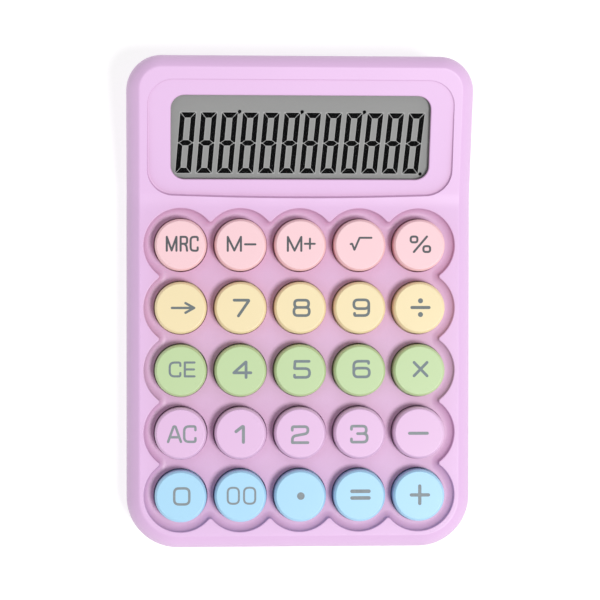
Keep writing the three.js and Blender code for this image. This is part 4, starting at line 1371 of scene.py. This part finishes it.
# ---- Battery door -------------------------------------------------------------
# A lilac ABS panel that wraps up the back of the case, with a tongue along each side that
# runs in the bottom case's grooves, and four finger grooves to push it off by.
door = tub_shell("door_panel")
door_space = block("door_space", (-door_half_x, door_low.y, base - past),
                   (door_half_x, back + past, door_top))
work(door, "INTERSECT", [door_space])
tongues = block("tongues", (-door_high.x, door_low.y, tongue_z - tongue_half),
                (door_high.x, back - base_edge - 2 * tongue_half, tongue_z + tongue_half))
work(door, "UNION", [tongues])
grip_half_x = 7.0 * mm
grip_r = 0.8 * mm
grip_depth = 0.45 * mm
first_grip = door_low.y + 4.5 * mm
grip_pitch = 2.2 * mm
grips = []
for i in range(4):
    grip_middle = (0, first_grip + i * grip_pitch, base - grip_r + grip_depth)
    along = Matrix.Translation(grip_middle) @ Matrix.Rotation(math.pi / 2, 4, "Y")
    ends = [(0.3 * grip_r, -grip_half_x), (grip_r, -grip_half_x + grip_r),
            (grip_r, grip_half_x - grip_r), (0.3 * grip_r, grip_half_x)]
    grips.append(turned("grip", 0, 0, ends, along, 32))
work(door, "DIFFERENCE", grips)
smooth(door)
dress(door, lilac_shell, "case", "door", "battery_door")

# ---- Screws ---------------------------------------------------------------
# Zinc-plated pan-head screws with a cross recess, driven from below: six hold the case
# together, four the circuit board and two the display's holder.
zinc = finish_of(
    "zinc_plate", (0.56, 0.57, 0.60), (0.75, 0.76, 0.78), 0.30,
    clouds=(500.0, 0.15), grain=(1800.0, 0.12, 0.01), wear_and_highlight=(0.15, 0.6), Metallic=1.0,
)
shank_r = 0.95 * mm
root_r = 0.78 * shank_r  # between two turns of the thread
thread = 0.7 * mm
head_height = 1.3 * mm
holder_screw_seat = -6.7 * mm  # the holder's underside, in the display's plane
holder_screw_length = 4.1 * mm


def pan_head_screw(name, length, radius, place):
    """A screw with its head down and its origin under the head."""
    crown_start = (0.5 * mm, -head_height)
    profile = [crown_start]
    profile += bend(crown_start, (0.8 * radius, -head_height), (radius, -0.5 * head_height), 6)[1:]
    profile += [(radius, 0.0), (shank_r, 0.0)]
    for i in range(int((length - 1.5 * mm) / thread)):
        z = 0.4 * mm + i * thread
        profile += [(root_r, z), (shank_r, z + 0.45 * thread), (root_r, z + 0.9 * thread)]
    profile += [(0.05 * mm, length)]
    made = turned(name, 0, 0, profile, painted_side_light=32)
    arm, half = 1.3 * mm, 0.3 * mm
    deep = -0.45 * head_height
    work(made, "DIFFERENCE", [
        block("recess", (-arm, -half, -head_height - past), (arm, half, deep)),
        block("recess", (-half, -arm, -head_height - past), (half, arm, deep)),
    ])
    made.data.transform(place)
    return smooth(made, 40)


screw_groups = [
    ("case_screw_", 6, 2.5 * mm, None),
    ("board_screw_", 4, 2.2 * mm, None),
    ("holder_screw_", 2, 2.2 * mm, display),
]
for prefix, count, radius, plane in screw_groups:
    for i in range(1, count + 1):
        low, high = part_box(prefix + str(i))
        at = (low + high) / 2
        if plane:
            place = plane @ Matrix.Translation((at.x, 0, holder_screw_seat))
            length = holder_screw_length
        else:
            place = Matrix.Translation((at.x, at.y, low.z + head_height))
            length = high.z - low.z - head_height
        screw = pan_head_screw("screw_" + prefix + str(i), length, radius, place)
        dress(screw, zinc, "screws", "case", prefix + str(i))

# ---- Floor and light -----------------------------------------------------------
# A plain pale sheet that glows softly and is only there from above, an even white surround
# and one soft lamp, high up and a little to the right and front.
floor_mesh = bmesh.new()
floor_shift = Matrix.Translation((2.0, -1.0, 0.0))  # keeps the glowing sheet's diagonal clear
bmesh.ops.create_grid(floor_mesh, x_segments=1, y_segments=1, size=6.0, matrix=floor_shift)
floor = shown("floor", floor_mesh)
pale = bpy.data.materials.new("pale_floor")
pale.use_nodes = True
pale_tree = pale.node_tree
paper = pale_tree.nodes["Principled BSDF"]
paper.inputs["Base Color"].default_value = (0.40, 0.40, 0.40, 1)
paper.inputs["Roughness"].default_value = 0.9
paper.inputs["Emission Color"].default_value = (1, 1, 1, 1)
paper.inputs["Emission Strength"].default_value = 0.72
unseen = node(pale_tree, "BsdfTransparent")
from_below = node(pale_tree, "NewGeometry").outputs["Backfacing"]
one_sided = node(pale_tree, "MixShader", {
    "Fac": from_below,
    1: paper.outputs["BSDF"],
    2: unseen.outputs["BSDF"],
})
surface = pale_tree.nodes["Material Output"].inputs["Surface"]
pale_tree.links.new(one_sided.outputs["Shader"], surface)
floor.data.materials.append(pale)

world = bpy.data.worlds.new("studio")
world.use_nodes = True
world.node_tree.nodes["Background"].inputs["Color"].default_value = (1, 1, 1, 1)
world.node_tree.nodes["Background"].inputs["Strength"].default_value = 0.52
scene.world = world
lamp_data = bpy.data.lights.new("soft_lamp", "AREA")
lamp_data.shape = "DISK"
lamp_data.size = 0.9
lamp_data.energy = 70.0
lamp = bpy.data.objects.new("soft_lamp", lamp_data)
toward = Vector((0.33, -0.25, 0.91)).normalized()
lamp.location = toward * 3.0
lamp.rotation_euler = toward.to_track_quat("Z", "Y").to_euler()
scene.collection.objects.link(lamp)
scene.view_settings.view_transform = "Standard"
